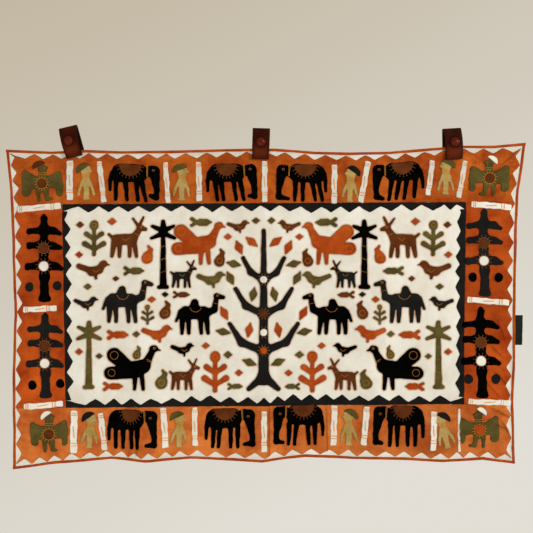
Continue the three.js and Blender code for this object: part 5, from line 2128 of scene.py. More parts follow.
@dataclass
class Bands:
    """Orange bands with saw tooth outer edges, and charcoal saw tooth strips inside them."""

    gap: float = -0.8
    form: PatchForm = PatchForm(
        LAYERS.patch_back, step=2.2, fill=3.3, scallop=0.15, sink=0.2, wander=0.5
    )
    strip_form: PatchForm = PatchForm(LAYERS.patch_back, step=2.4, scallop=0.2, wander=0.5)
    # Painted light on the orange bands: how much brighter they get towards the lower left.
    lower_left_light: float = 0.2
    darker_x: float = 372
    darker_half: float = 70
    darker: float = 0.1

    @staticmethod
    def edge(side: str, start: float, end: float) -> list[Point]:
        """Saw tooth edge of the orange border along a part of a side of the cloth.

        Args:
            side: side of the cloth.
            start: place along the side where the edge starts.
            end: place where it ends.

        Returns:
            Corners of the edge.
        """
        level = SIDES[side]
        ends = (float(min(level.at)), float(max(level.at)))
        marks = BAND_EDGES[side].line(ends, (start, end))
        return [level.point(place, inset) for place, inset in marks]

    def outlines(self) -> dict[str, list[Point]]:
        """Outlines of the four orange bands.

        Returns:
            The outline of each band, by side.
        """
        tl, tr = corner("left", "top", BAND_INSET), corner("right", "top", BAND_INSET)
        bl, br = corner("left", "bottom", BAND_INSET), corner("right", "bottom", BAND_INSET)
        field_tl, field_tr = FIELD["top_left"], FIELD["top_right"]
        field_bl, field_br = FIELD["bottom_left"], FIELD["bottom_right"]
        gap = self.gap
        return {
            "top": [
                *self.edge("top", tl[0], tr[0]),
                *self.edge("right", tr[1], field_tr[1])[1:],
                field_tr,
                field_tl,
                *self.edge("left", field_tl[1], tl[1])[:-1],
            ],
            "bottom": [
                *self.edge("bottom", br[0], bl[0]),
                *self.edge("left", bl[1], field_bl[1])[1:],
                field_bl,
                field_br,
                *self.edge("right", field_br[1], br[1])[:-1],
            ],
            "left": [
                *self.edge("left", field_bl[1] + gap, field_tl[1] - gap),
                (field_tl[0] - gap, field_tl[1] - gap),
                (field_bl[0] - gap, field_bl[1] + gap),
            ],
            "right": [
                *self.edge("right", field_tr[1] - gap, field_br[1] + gap),
                (field_br[0] + gap, field_br[1] + gap),
                (field_tr[0] + gap, field_tr[1] - gap),
            ],
        }

    def strip_outlines(self) -> dict[str, list[Point]]:
        """Outlines of the four charcoal strips.

        Returns:
            The outline of each strip, by side.
        """
        sides = {
            "top": ("top_left", "top_right", -1, True),
            "bottom": ("bottom_left", "bottom_right", 1, True),
            "left": ("bottom_left", "top_left", 1, False),
            "right": ("bottom_right", "top_right", -1, False),
        }
        made = {}
        for name, (start_name, end_name, inwards, across) in sides.items():
            start, end = FIELD[start_name], FIELD[end_name]
            axis = 0 if across else 1
            ends = (start[axis], end[axis])
            shorten = 0 if across else STRIP_END + STRIP_CLEAR
            span = (ends[0] + shorten, ends[1] - shorten)
            marks = STRIP_EDGES[name].line(ends, span)
            if across:
                marks = [(span[0], STRIP_END), *marks[1:-1], (span[1], STRIP_END)]
            marks = [(span[1], self.gap), (span[0], self.gap), *marks]
            made[name] = [
                self.strip_point(start, end, place, inwards * inset, across) for place, inset in marks
            ]
        return made

    @staticmethod
    def strip_point(
        start: Point, end: Point, place: float, inset: float, across: bool
    ) -> Point:
        """A point at a place along a side of the field, moved inwards by inset.

        Args:
            start: corner of the field where the side starts.
            end: corner where it ends.
            place: place along the side.
            inset: distance inwards.
            across: whether the side is the top or bottom one.

        Returns:
            The point.
        """
        axis = 0 if across else 1
        share = (place - start[axis]) / (end[axis] - start[axis])
        level = start[1 - axis] + share * (end[1 - axis] - start[1 - axis]) + inset
        return (place, level) if across else (level, place)

    def faded(self, x: Array, z: Array) -> Array:
        """Brightness of the orange: painted light makes it brighter towards the bottom, most on the left,
        and it is darker about x = 372 near the bottom.

        Args:
            x: places along the cloth.
            z: heights.

        Returns:
            The brightness at each place.
        """
        # Painted light: brighter towards the bottom, most on the left.
        left, low = ease(300, -250, x), ease(-330, -640, z)
        beside = np.exp(-(((x - self.darker_x) / self.darker_half) ** 2))
        patch = self.darker * beside * ease(-560, -640, z)
        return 0.98 + self.lower_left_light * low * (0.35 + 0.65 * left) - patch

    def build(self, shop: Workshop) -> list[Array]:
        """Makes the bands and strips.

        Args:
            shop: the workshop.

        Returns:
            The outlines of the charcoal strips as sewn.
        """
        for side, outline in self.outlines().items():
            cloth = {"top": Cloth.ORANGE, "bottom": Cloth.PALE_ORANGE}.get(side, Cloth.DEEP_ORANGE)
            shell, smooth = Shell(), rounded(np.array(outline), 1.5, 2)
            self.form.add_to(shell, smooth, shop.next_seed(), 1.0, self.faded)
            shop.keep(shell, f"orange_{side}", cloth, [f"band_{side}"])
        sewn = []
        for side, outline in self.strip_outlines().items():
            shell, smooth = Shell(), rounded(np.array(outline), 1.5, 1)
            sewn.append(self.strip_form.add_to(shell, smooth, shop.next_seed()))
            shop.keep(shell, f"charcoal_{side}", Cloth.CHARCOAL, [f"saw_strip_{side}"])
        return sewn


# Motifs of the border


class Corner(Enum):
    """Corners of the border."""

    TOP_LEFT = "top_left"
    TOP_RIGHT = "top_right"
    BOTTOM_LEFT = "bottom_left"
    BOTTOM_RIGHT = "bottom_right"


@dataclass
class BorderMotifs:
    """Animals, figures, birds, trees and bars sewn on the orange bands."""

    form: PatchForm = PatchForm(
        LAYERS.motif_back, step=1.7, scallop=0.75, scallop_pitch=4.2, wander=0.55
    )
    trim: PatchForm = TRIM
    bar_form: PatchForm = PatchForm(
        LAYERS.motif_back, step=1.6, fill=4.0, scallop=0.75, scallop_pitch=3.6, wander=0.8,
        edge_shade=0.06,
    )
    motif_face: float = LAYERS.motif_front - 0.25
    saddle_drop: float = 28
    fringe: Point = (0.8, 4.6)
    figure_cap: tuple[float, float, float, float] = (-3.5, 73.5, 18.5, 15)
    bird_cap: tuple[float, float, float, float, float] = (-5.5, 86, 14.5, 12, 38)
    wide_cap: tuple[float, float, float, float, float] = (-6.7, 84.5, 17, 13.5, 27)
    neck_lines: tuple[float, ...] = (61, 57, 53)
    bar_lines: Point = (6.5, 11)
    bar_far_lines: Point = (23.5, 17.5)
    bar_line_reach: float = 0.86
    # Painted shade on the bars of the top band: their brightness, and the height above which they get it.
    top_bar_shade: float = 0.86
    shaded_above: float = -100
    elephants: tuple[Elephant, ...] = (
        Elephant(
            "top_1", Placement(-300, -142, 1, 1, -3), ELEPHANT, (40.5, 18.5),
            ((-41.5, -40.8), (-20.5, -13.5), (5, 11.8), (17, 30.8)),
        ),
        Elephant(
            "top_2", Placement(-69, -141), ELEPHANT, (43, 14.5),
            ((-38.5, -32.5), (-25, -17.5), (5, 11.5), (20, 30)), -11.5, 25,
        ),
        Elephant(
            "top_3", Placement(97, -142, -1), ELEPHANT, (33, 9.5),
            ((-38, -47.5), (-23, -31.5), (-2, -1.6), (15, 16.8)), -7.5,
        ),
        Elephant(
            "top_4", Placement(328, -138, -1, 1, 5), ELEPHANT, (41, 8.5),
            ((-41, -32.6), (-20.6, -8.7), (-3, 10), (15, 27)), -11.5, 26,
        ),
        Elephant(
            "bottom_1", Placement(-302, -721, 1, 0.98, -1), LOWER_ELEPHANT, (35.5, 12.5),
            ((-38, -38), (-20, -20), (-1, 0.7), (13.7, 14.3)), -3, 23,
        ),
        Elephant(
            "bottom_2", Placement(-73, -719, 1, 0.99), LOWER_ELEPHANT, (35.5, 12.5),
            ((-37, -39.5), (-22.5, -26), (3, 3), (19.5, 20)), -10.7, 26,
        ),
        Elephant(
            "bottom_3", Placement(92, -712, -1, 1, 2), LOWER_ELEPHANT, (40, 10.5),
            ((-36, -36), (-20, -20.5), (6, 13), (23, 26.5)), -11, 26,
        ),
        Elephant(
            "bottom_4", Placement(324, -715, -1, 1.02), LOWER_ELEPHANT, (42, 11.5),
            ((-37, -36.3), (-19.6, -19.2), (4, 5), (19.6, 22)), -8, 23,
        ),
    )
    figures: tuple[tuple[str, Placement, Cloth, float], ...] = (
        ("top_1", Placement(-409, -136, 1, 0.98, 3), Cloth.OLIVE, 32),
        ("top_2", Placement(-187, -138, 1, 0.98, -1), Cloth.OLIVE, 19),
        ("top_3", Placement(208, -141, -1, 0.96, -5), Cloth.CHARCOAL, 30),
        ("top_4", Placement(433, -124, -1, 0.96, -3), Cloth.OLIVE, 24),
        ("bottom_1", Placement(-402, -717, 1, 0.96, -2), Cloth.CHARCOAL, 35),
        ("bottom_2", Placement(-192, -716, 1, 0.96), Cloth.OLIVE, 26),
        ("bottom_3", Placement(207, -712, -1, 0.98), Cloth.OLIVE, 32),
        ("bottom_4", Placement(438, -717, -1, 0.96, 12), Cloth.CHARCOAL, 36),
    )
    birds: tuple[tuple[Corner, Placement, Cloth, Cloth], ...] = (
        (Corner.TOP_LEFT, Placement(-513, -140, 1, 0.98), Cloth.BROWN, Cloth.BROWN),
        (Corner.TOP_RIGHT, Placement(537, -128, -1, 0.98), Cloth.WHITE, Cloth.BROWN),
        (Corner.BOTTOM_LEFT, Placement(-494, -727), Cloth.WHITE, Cloth.BROWN),
        (Corner.BOTTOM_RIGHT, Placement(511, -715, -1, 0.97, 2), Cloth.WHITE, Cloth.RUST),
    )
    trees: tuple[tuple[str, Placement, Cloth, Cloth, tuple[Point, ...]], ...] = (
        ("left_upper", Placement(-507, -374), Cloth.BLACK, Cloth.CHARCOAL, ((-34, 34), (31, 37))),
        ("left_lower", Placement(-504, -599, 1, 0.97), Cloth.CHARCOAL, Cloth.BLACK, ((-30, 31), (36, 34))),
        ("right_upper", Placement(525, -361), Cloth.CHARCOAL, Cloth.BLACK, ((-28, 44), (33, 44))),
        ("right_lower", Placement(517, -598, 1, 1.03), Cloth.BLACK, Cloth.CHARCOAL, ((-30, 42), (32, 42))),
    )
    bars: tuple[tuple[float, float, float, float, float], ...] = (
        (-448, -43, -448, -136, 16),
        (-379, -44, -368, -141, 13),
        (-224, -47, -217, -143, 12.5),
        (-146, -46, -144, -139, 14),
        (9, -44, 9, -141, 13.5),
        (173, -52, 172, -144, 14),
        (252, -45, 234, -142, 14),
        (403, -43, 392, -125, 13),
        (480, -43, 464, -131, 12.5),
        (-437, -629, -437, -728, 17),
        (-375, -634, -365, -722, 14),
        (-228, -622, -222, -716, 15),
        (-155, -621, -154, -712, 13.5),
        (8, -629, 8, -725, 14),
        (173, -617, 170, -712, 15),
        (248, -618, 240, -709, 14.5),
        (406, -630, 403, -722, 14.5),
        (463, -623, 463, -724, 6.5),
        (-571, -158, -468, -149, 15),
        (-556, -393, -477, -389, 14),
        (-553, -619, -463, -613, 14),
        (493, -145, 588, -153, 15),
        (484, -369, 583, -377, 14),
        (483, -606, 586, -611, 13.5),
    )

    def build(self, shop: Workshop) -> None:
        """Makes all the motifs of the border.

        Args:
            shop: the workshop.
        """
        edge, face = LAYERS.patch_front - 0.35, self.motif_face
        self.whips = shop.run("whip_stitches_dark", Thread.DARK, edge, 5.6, 2.2, 0.32, True)
        self.pale_whips = shop.run("whip_stitches_pale", Thread.WHITE, edge, 5.6, 2.2, 0.32, True)
        self.gold = shop.run("gold_stitches", Thread.GOLD, face, 2.7, 3.0, 1.2)
        self.bars_thread = shop.run("orange_stitches", Thread.OCHRE, face, 3.0, 3.3, 2.0)
        self.fine = shop.run("neck_stitches", Thread.GOLD, face, 2.4, 2.7, 1.5)
        self.brown = shop.run("ray_stitches", Thread.BROWN, face, 2.4, 2.7, 1.1)
        self.add_elephants(shop)
        self.add_figures(shop)
        self.add_birds(shop)
        self.add_trees(shop)
        self.add_bars(shop)

    def motif(
        self, shop: Workshop, rods: Sequence[Rod], place: Placement, name: str, cloth: Cloth, node: str
    ) -> None:
        """Makes one motif that stands for a solid, and its edge stitches.

        Args:
            shop: the workshop.
            rods: the motif.
            place: where it is sewn.
            name: name of the piece.
            cloth: its cotton.
            node: the solid that it stands for.
        """
        shell = Shell()
        line = self.form.add_to(shell, place.apply(shop.outline_of(rods)), shop.next_seed())
        shop.keep(shell, name, cloth, [node])
        pale = cloth in (Cloth.CREAM, Cloth.WHITE)
        (self.pale_whips if pale else self.whips).add(line, closed=True)

    def add_elephants(self, shop: Workshop) -> None:
        """Makes the elephants with their saddlecloths, neck straps and eyes.

        Args:
            shop: the workshop.
        """
        saddles = Shell()
        for elephant in self.elephants:
            place, half, name = elephant.place, elephant.saddle_half, elephant.name
            x, back = elephant.saddle_x, elephant.back
            self.motif(
                shop, elephant.rods(), place, f"elephant_patch_{name}", Cloth.BLACK, f"elephant_{name}"
            )
            moon = place.apply(half_moon(x, back, half, -self.saddle_drop, 0))
            self.trim.add_to(saddles, moon, shop.next_seed())
            for degrees in range(-170, -5, 16):
                angle = math.radians(degrees)
                way = np.array([math.cos(angle), math.sin(angle)]) * (1, self.saddle_drop / half)
                centre = np.array([x, back])
                self.brown.add(place.apply([centre + way * (half + reach) for reach in self.fringe]))
            for shift in (0, 2.6):
                strap = [(28 + shift, back - 1), (30 + shift * 0.6, back - 26)]
                self.gold.add(place.apply(strap))
            self.brown.add(place.apply(ring(44, 78, 2.8, 0.8, 10)), closed=True)
        shop.keep(saddles, "saddlecloths", Cloth.BROWN)

    def add_figures(self, shop: Workshop) -> None:
        """Makes the figures with their caps and neck lines.

        Args:
            shop: the workshop.
        """
        caps: dict[Cloth, Shell] = {}
        for name, place, cap, tilt in self.figures:
            self.motif(shop, FIGURE, place, f"figure_patch_{name}", Cloth.CREAM, f"figure_{name}")
            shell = caps.setdefault(cap, Shell())
            moon = place.apply(half_moon(*self.figure_cap, tilt))
            self.trim.add_to(shell, moon, shop.next_seed())
            for height in self.neck_lines:
                self.fine.add(place.apply([(-7.5, height), (11.5, height + 0.4)]))
            self.brown.add(place.apply([(9, 64.5), (14.5, 65.5)]))
            self.brown.add(place.apply([(7, 73), (10.5, 73.6)]))
        for cap, shell in caps.items():
            shop.keep(shell, f"figure_caps_{cap.name.lower()}", cap)

    def add_birds(self, shop: Workshop) -> None:
        """Makes the corner birds with their caps and rosettes.

        Args:
            shop: the workshop.
        """
        for at, place, cap, rosette in self.birds:
            name = at.value
            rods = CLOSE_BIRD if at is Corner.BOTTOM_LEFT else BIRD
            self.motif(shop, rods, place, f"bird_patch_{name}", Cloth.OLIVE, f"bird_{name}")
            shell = Shell()
            moon = half_moon(*(self.wide_cap if at is Corner.TOP_LEFT else self.bird_cap))
            self.trim.add_to(shell, place.apply(moon), shop.next_seed())
            shop.keep(shell, f"bird_cap_{name}", cap)
            shell = Shell()
            self.trim.add_to(shell, place.apply(ring(0, 44, 12)), shop.next_seed())
            shop.keep(shell, f"bird_rosette_{name}", rosette)
            centre = place.apply([(0, 44)])[0]
            self.gold.add_rays(centre, 14, 16.8, 14, 0.2)
            self.gold.add(ring(*centre, 12.6), closed=True)
            for height in (69, 64.5):
                self.gold.add(place.apply([(-8, height), (9, height)]))
            self.brown.add(place.apply(ring(6, 81, 1.6, 1, 6)), closed=True)

    def add_trees(self, shop: Workshop) -> None:
        """Makes the side trees with their rosettes and dots.

        Args:
            shop: the workshop.
        """
        brown, white = Shell(), Shell()
        dots: dict[Cloth, Shell] = {}
        for name, place, cloth, dot, spots in self.trees:
            self.motif(shop, TREE, place, f"tree_patch_{name}", cloth, f"tree_{name}")
            for shell, height in ((brown, 125), (white, 83)):
                self.trim.add_to(shell, place.apply(ring(-1.5, height, 11.6)), shop.next_seed())
                centre = place.apply([(-1.5, height)])[0]
                self.brown.add_rays(centre, 14, 17.4, 12, 0.3)
                self.brown.add(ring(*centre, 12.4), closed=True)
            shell = dots.setdefault(dot, Shell())
            for x, z in spots:
                outline = place.apply(ring(x, z, 10.6, 1.1))
                line = self.form.add_to(shell, outline, shop.next_seed())
                round_dot = shop.run(
                    "dot_stitches", Thread.ORANGE, LAYERS.patch_front - 0.4, 4.0, 2.6, 0.5, True
                )
                round_dot.add(line, closed=True)
        shop.keep(brown, "tree_rosettes_brown", Cloth.BROWN)
        shop.keep(white, "tree_rosettes_white", Cloth.WHITE)
        for dot, shell in dots.items():
            shop.keep(shell, f"tree_dots_{dot.name.lower()}", dot)

    def add_bars(self, shop: Workshop) -> None:
        """Makes the white bars with their stitched lines.

        Args:
            shop: the workshop.
        """
        shell = Shell()
        for x0, z0, x1, z1, width in self.bars:
            start, end = np.array([x0, z0], float), np.array([x1, z1], float)
            along = (end - start) / np.hypot(*(end - start))
            side = np.array([-along[1], along[0]])
            half = width / 2
            outline = np.array([point + side * reach for point, reach in (
                (start, half), (start, -half), (end, -half), (end, half)
            )])
            # Painted shade: the bars of the top band are darker.
            tone = self.top_bar_shade if z0 > self.shaded_above else 1.0
            line = self.bar_form.add_to(shell, rounded(outline, 1.5, 3), shop.next_seed(), tone)
            self.pale_whips.add(line, closed=True)
            length = float(np.hypot(*(end - start)))
            for reach in (*self.bar_lines, *(length - far for far in self.bar_far_lines)):
                middle = start + along * reach
                across = side * half * self.bar_line_reach
                self.bars_thread.add([middle - across, middle + across])
            lean = side * width * 0.08
            ends = (start + along * length * 0.38 - lean, start + along * length * 0.62 + lean)
            self.bars_thread.add(ends)
        shop.keep(shell, "white_bars", Cloth.WHITE)


# The white field


@dataclass
class FieldDesign:
    """Generic design of the white field, mirrored about its middle."""

    centre: float = 7.0
    form: PatchForm = PatchForm(LAYERS.patch_back)
    trim: PatchForm = replace(TRIM, base=LAYERS.motif_back)
    outline_gap: float = 1.4
    lozenge_stretch: float = 1.25
    foot: float = -586
    pairs: tuple[tuple[str, Sequence[Rod], float, float, float, Cloth], ...] = (
        ("peacock_upper", PEACOCK, 142, -288, 1.0, Cloth.RUST),
        ("palm_upper", PALM, 236, -346, 1.0, Cloth.BLACK),
        ("deer", DEER, 322, -272, 1.02, Cloth.BROWN),
        ("camel_inner", CAMEL, 158, -452, 0.95, Cloth.BLACK),
        ("camel_outer", CAMEL, 328, -424, 0.98, Cloth.CHARCOAL),
        ("palm_lower", PALM, 410, -580, 0.98, Cloth.OLIVE),
        ("peacock_lower", PEACOCK, 296, -582, 1.05, Cloth.BLACK),
    )
    small: tuple[tuple[Sequence[Rod], float, float, float, Cloth], ...] = (
        (BUSH, 114, -586, 1.15, Cloth.RUST),
        (BUSH, 398, -266, 1.0, Cloth.OLIVE),
        (BUSH, 272, -427, 0.56, Cloth.OLIVE),
        (DEER, 188, -582, 0.78, Cloth.BROWN),
        (DEER, 190, -342, 0.68, Cloth.CHARCOAL),
        (SMALL_BIRD, 396, -322, 1.25, Cloth.BROWN),
        (SMALL_BIRD, 414, -395, 0.92, Cloth.CHARCOAL),
        (SMALL_BIRD, 120, -342, 1.1, Cloth.OLIVE),
        (SMALL_BIRD, 246, -470, 1.15, Cloth.RUST),
        (SMALL_BIRD, 188, -503, 0.9, Cloth.BLACK),
        (SMALL_BIRD, 57, -213, 0.85, Cloth.BROWN),
        (FISH, 300, -302, 0.9, Cloth.OLIVE),
        (FISH, 338, -452, 0.95, Cloth.RUST),
        (FISH, 190, -358, 0.72, Cloth.BROWN),
        (FISH, 143, -188, 0.95, Cloth.OLIVE),
        (FISH, 350, -573, 0.85, Cloth.RUST),
        (FISH, 64, -573, 0.66, Cloth.OLIVE),
        (PAISLEY, 232, -416, 0.8, Cloth.BROWN),
        (PAISLEY, 240, -580, 0.85, Cloth.OLIVE),
        (PAISLEY, 273, -286, 0.8, Cloth.RUST),
        (PAISLEY, 297, -509, 0.58, Cloth.OLIVE),
        (PAISLEY, 104, -293, 0.78, Cloth.BROWN),
    )
    leaves: tuple[tuple[float, float, float, Cloth], ...] = (
        (85, 170, -28, Cloth.RUST),
        (79, 138, -80, Cloth.OLIVE),
        (37, 129, 10, Cloth.RUST),
        (71, 252, -26, Cloth.OLIVE),
        (28, 213, 12, Cloth.OLIVE),
        (51, 324, -24, Cloth.RUST),
        (54, 297, -78, Cloth.OLIVE),
        (15, 342, -52, Cloth.RUST),
        (18, 64, -70, Cloth.OLIVE),
    )
    lozenges: tuple[tuple[float, float, float, Cloth], ...] = (
        (84, -222, 8, Cloth.RUST),
        (356, -186, 9, Cloth.RUST),
        (431, -194, 8, Cloth.BROWN),
        (433, -264, 8, Cloth.RUST),
        (347, -320, 7, Cloth.BROWN),
        (413, -339, 8, Cloth.OLIVE),
        (231, -357, 7, Cloth.CHARCOAL),
        (262, -369, 8, Cloth.RUST),
        (84, -499, 9, Cloth.OLIVE),
        (58, -541, 8, Cloth.RUST),
        (136, -478, 8, Cloth.RUST),
        (298, -450, 8, Cloth.OLIVE),
        (433, -492, 8, Cloth.RUST),
        (386, -502, 7, Cloth.OLIVE),
        (18, -184, 8, Cloth.OLIVE),
    )

    def build(self, shop: Workshop) -> list[Array]:
        """Makes the design.

        Args:
            shop: the workshop.

        Returns:
            The outlines of its patches as sewn.
        """
        ground, face = LAYERS.ground_front - 0.55, LAYERS.patch_front - 0.15
        self.lines = shop.run("couched_outlines", Thread.GOLD, ground, 3.5, 3.7, 1.0)
        self.marks = shop.run("field_marks", Thread.GOLD, face, 2.7, 2.9, 0.95)
        self.sewn: list[Array] = []
        place = Placement(self.centre, self.foot)
        shell = Shell()
        self.sew(shop, shell, place.apply(shop.outline_of(TREE_OF_LIFE)))
        shop.keep(shell, "tree_of_life", Cloth.CHARCOAL, ["field_tree"])
        for name, rods, out, z, size, cloth in self.pairs:
            for side, sign in (("left", -1), ("right", 1)):
                place = Placement(self.centre + sign * out, z, -sign, size)
                shell = Shell()
                self.sew(shop, shell, place.apply(shop.outline_of(rods)))
                shop.keep(shell, f"{name}_{side}_patch", cloth, [f"field_{name}_{side}"])
                self.add_marks(rods, place)
        self.add_small(shop)
        return self.sewn

    def sew(self, shop: Workshop, shell: Shell, outline: Array) -> None:
        """Adds a patch of the field and the couched line round it.

        Args:
            shop: the workshop.
            shell: what it is added to.
            outline: its closed outline.
        """
        line = self.form.add_to(shell, outline, shop.next_seed())
        self.sewn.append(line)
        self.lines.add(line - inward_normals(line) * self.outline_gap, closed=True)

    def add_small(self, shop: Workshop) -> None:
        """Makes the small motifs, leaves and lozenges, joined by cloth.

        Args:
            shop: the workshop.
        """
        shells: dict[Cloth, Shell] = {}
        for rods, out, z, size, cloth in self.small:
            for sign in (-1, 1):
                place = Placement(self.centre + sign * out, z, -sign, size)
                self.sew(shop, shells.setdefault(cloth, Shell()), place.apply(shop.outline_of(rods)))
                self.add_marks(rods, place)
        tree = Placement(self.centre, self.foot)
        for out, up, turn, cloth in self.leaves:
            for sign in (-1, 1):
                leaf = Placement(sign * out, up, sign, 1.0, sign * turn).apply(shop.outline_of(LEAF))
                self.sew(shop, shells.setdefault(cloth, Shell()), tree.apply(leaf))
        for out, z, half, cloth in self.lozenges:
            for sign in (-1, 1):
                x = self.centre + sign * out
                wide = half * self.lozenge_stretch
                outline = np.array([(x + wide, z), (x, z + half), (x - wide, z), (x, z - half)])
                self.sew(shop, shells.setdefault(cloth, Shell()), rounded(outline, 1.2, 1))
        for cloth, shell in shells.items():
            shop.keep(shell, f"field_patches_{cloth.name.lower()}", cloth)
        rosettes = {Cloth.BROWN: Shell(), Cloth.WHITE: Shell(), Cloth.RUST: Shell()}
        for up, cloth in ((98, Cloth.RUST), (140, Cloth.WHITE), (184, Cloth.BROWN), (264, Cloth.WHITE)):
            centre = tree.apply([(0, up)])[0]
            self.trim.add_to(rosettes[cloth], ring(*centre, 8.5), shop.next_seed())
            self.marks.add_rays(centre, 10, 13, 10)
        for cloth, shell in rosettes.items():
            shop.keep(shell, f"field_rosettes_{cloth.name.lower()}", cloth)

    def add_marks(self, rods: Sequence[Rod], place: Placement) -> None:
        """Adds the gold details of a motif: eyes, straps and small flowers.

        Args:
            rods: the motif.
            place: where the motif is sewn.
        """
        marks: dict[int, list[tuple[list[Point], bool]]] = {
            id(PEACOCK): [
                ([(24, 66), (33, 62)], False),
                ([(22, 70), (30, 66)], False),
                (ring(38, 94, 2.6, 1, 8).tolist(), True),
                (ring(-52, 78, 9, 1, 14).tolist(), True),
                (ring(-58, 39, 8, 1, 14).tolist(), True),
            ],
            id(CAMEL): [
                ([(-16, 66), (-10, 58), (0, 56), (8, 60), (12, 66)], False),
                ([(44, 78), (54, 76)], False),
                (ring(52, 97, 2.4, 1, 8).tolist(), True),
            ],
            id(DEER): [
                ([(20, 56), (30, 52)], False),
                (ring(34, 71, 2.2, 1, 8).tolist(), True),
                ([(-10, 46), (-2, 40), (6, 46)], False),
            ],
            id(SMALL_BIRD): [([(-4, 18), (2, 13), (8, 18)], False)],
            id(PAISLEY): [(ring(1, 19, 8, 1, 14).tolist(), True)],
            id(PALM): [
                ([(-5, 40), (5, 44)], False),
                ([(-5, 70), (5, 74)], False),
                ([(-4, 100), (4, 103)], False),
            ],
            id(BUSH): [(ring(0, 71.5, 5, 1, 10).tolist(), True)],
        }
        for line, closed in marks.get(id(rods), []):
            self.marks.add(place.apply(line), closed)


# What holds the cloth


@dataclass(frozen=True)
class StrapPlace:
    """One strap: the stud's place, the lean, the widths and how far the leather is off the stud."""

    name: str
    x: float
    z: float
    lean: float
    top: float
    bottom: float
    offset: float
    bow: float
    back: float


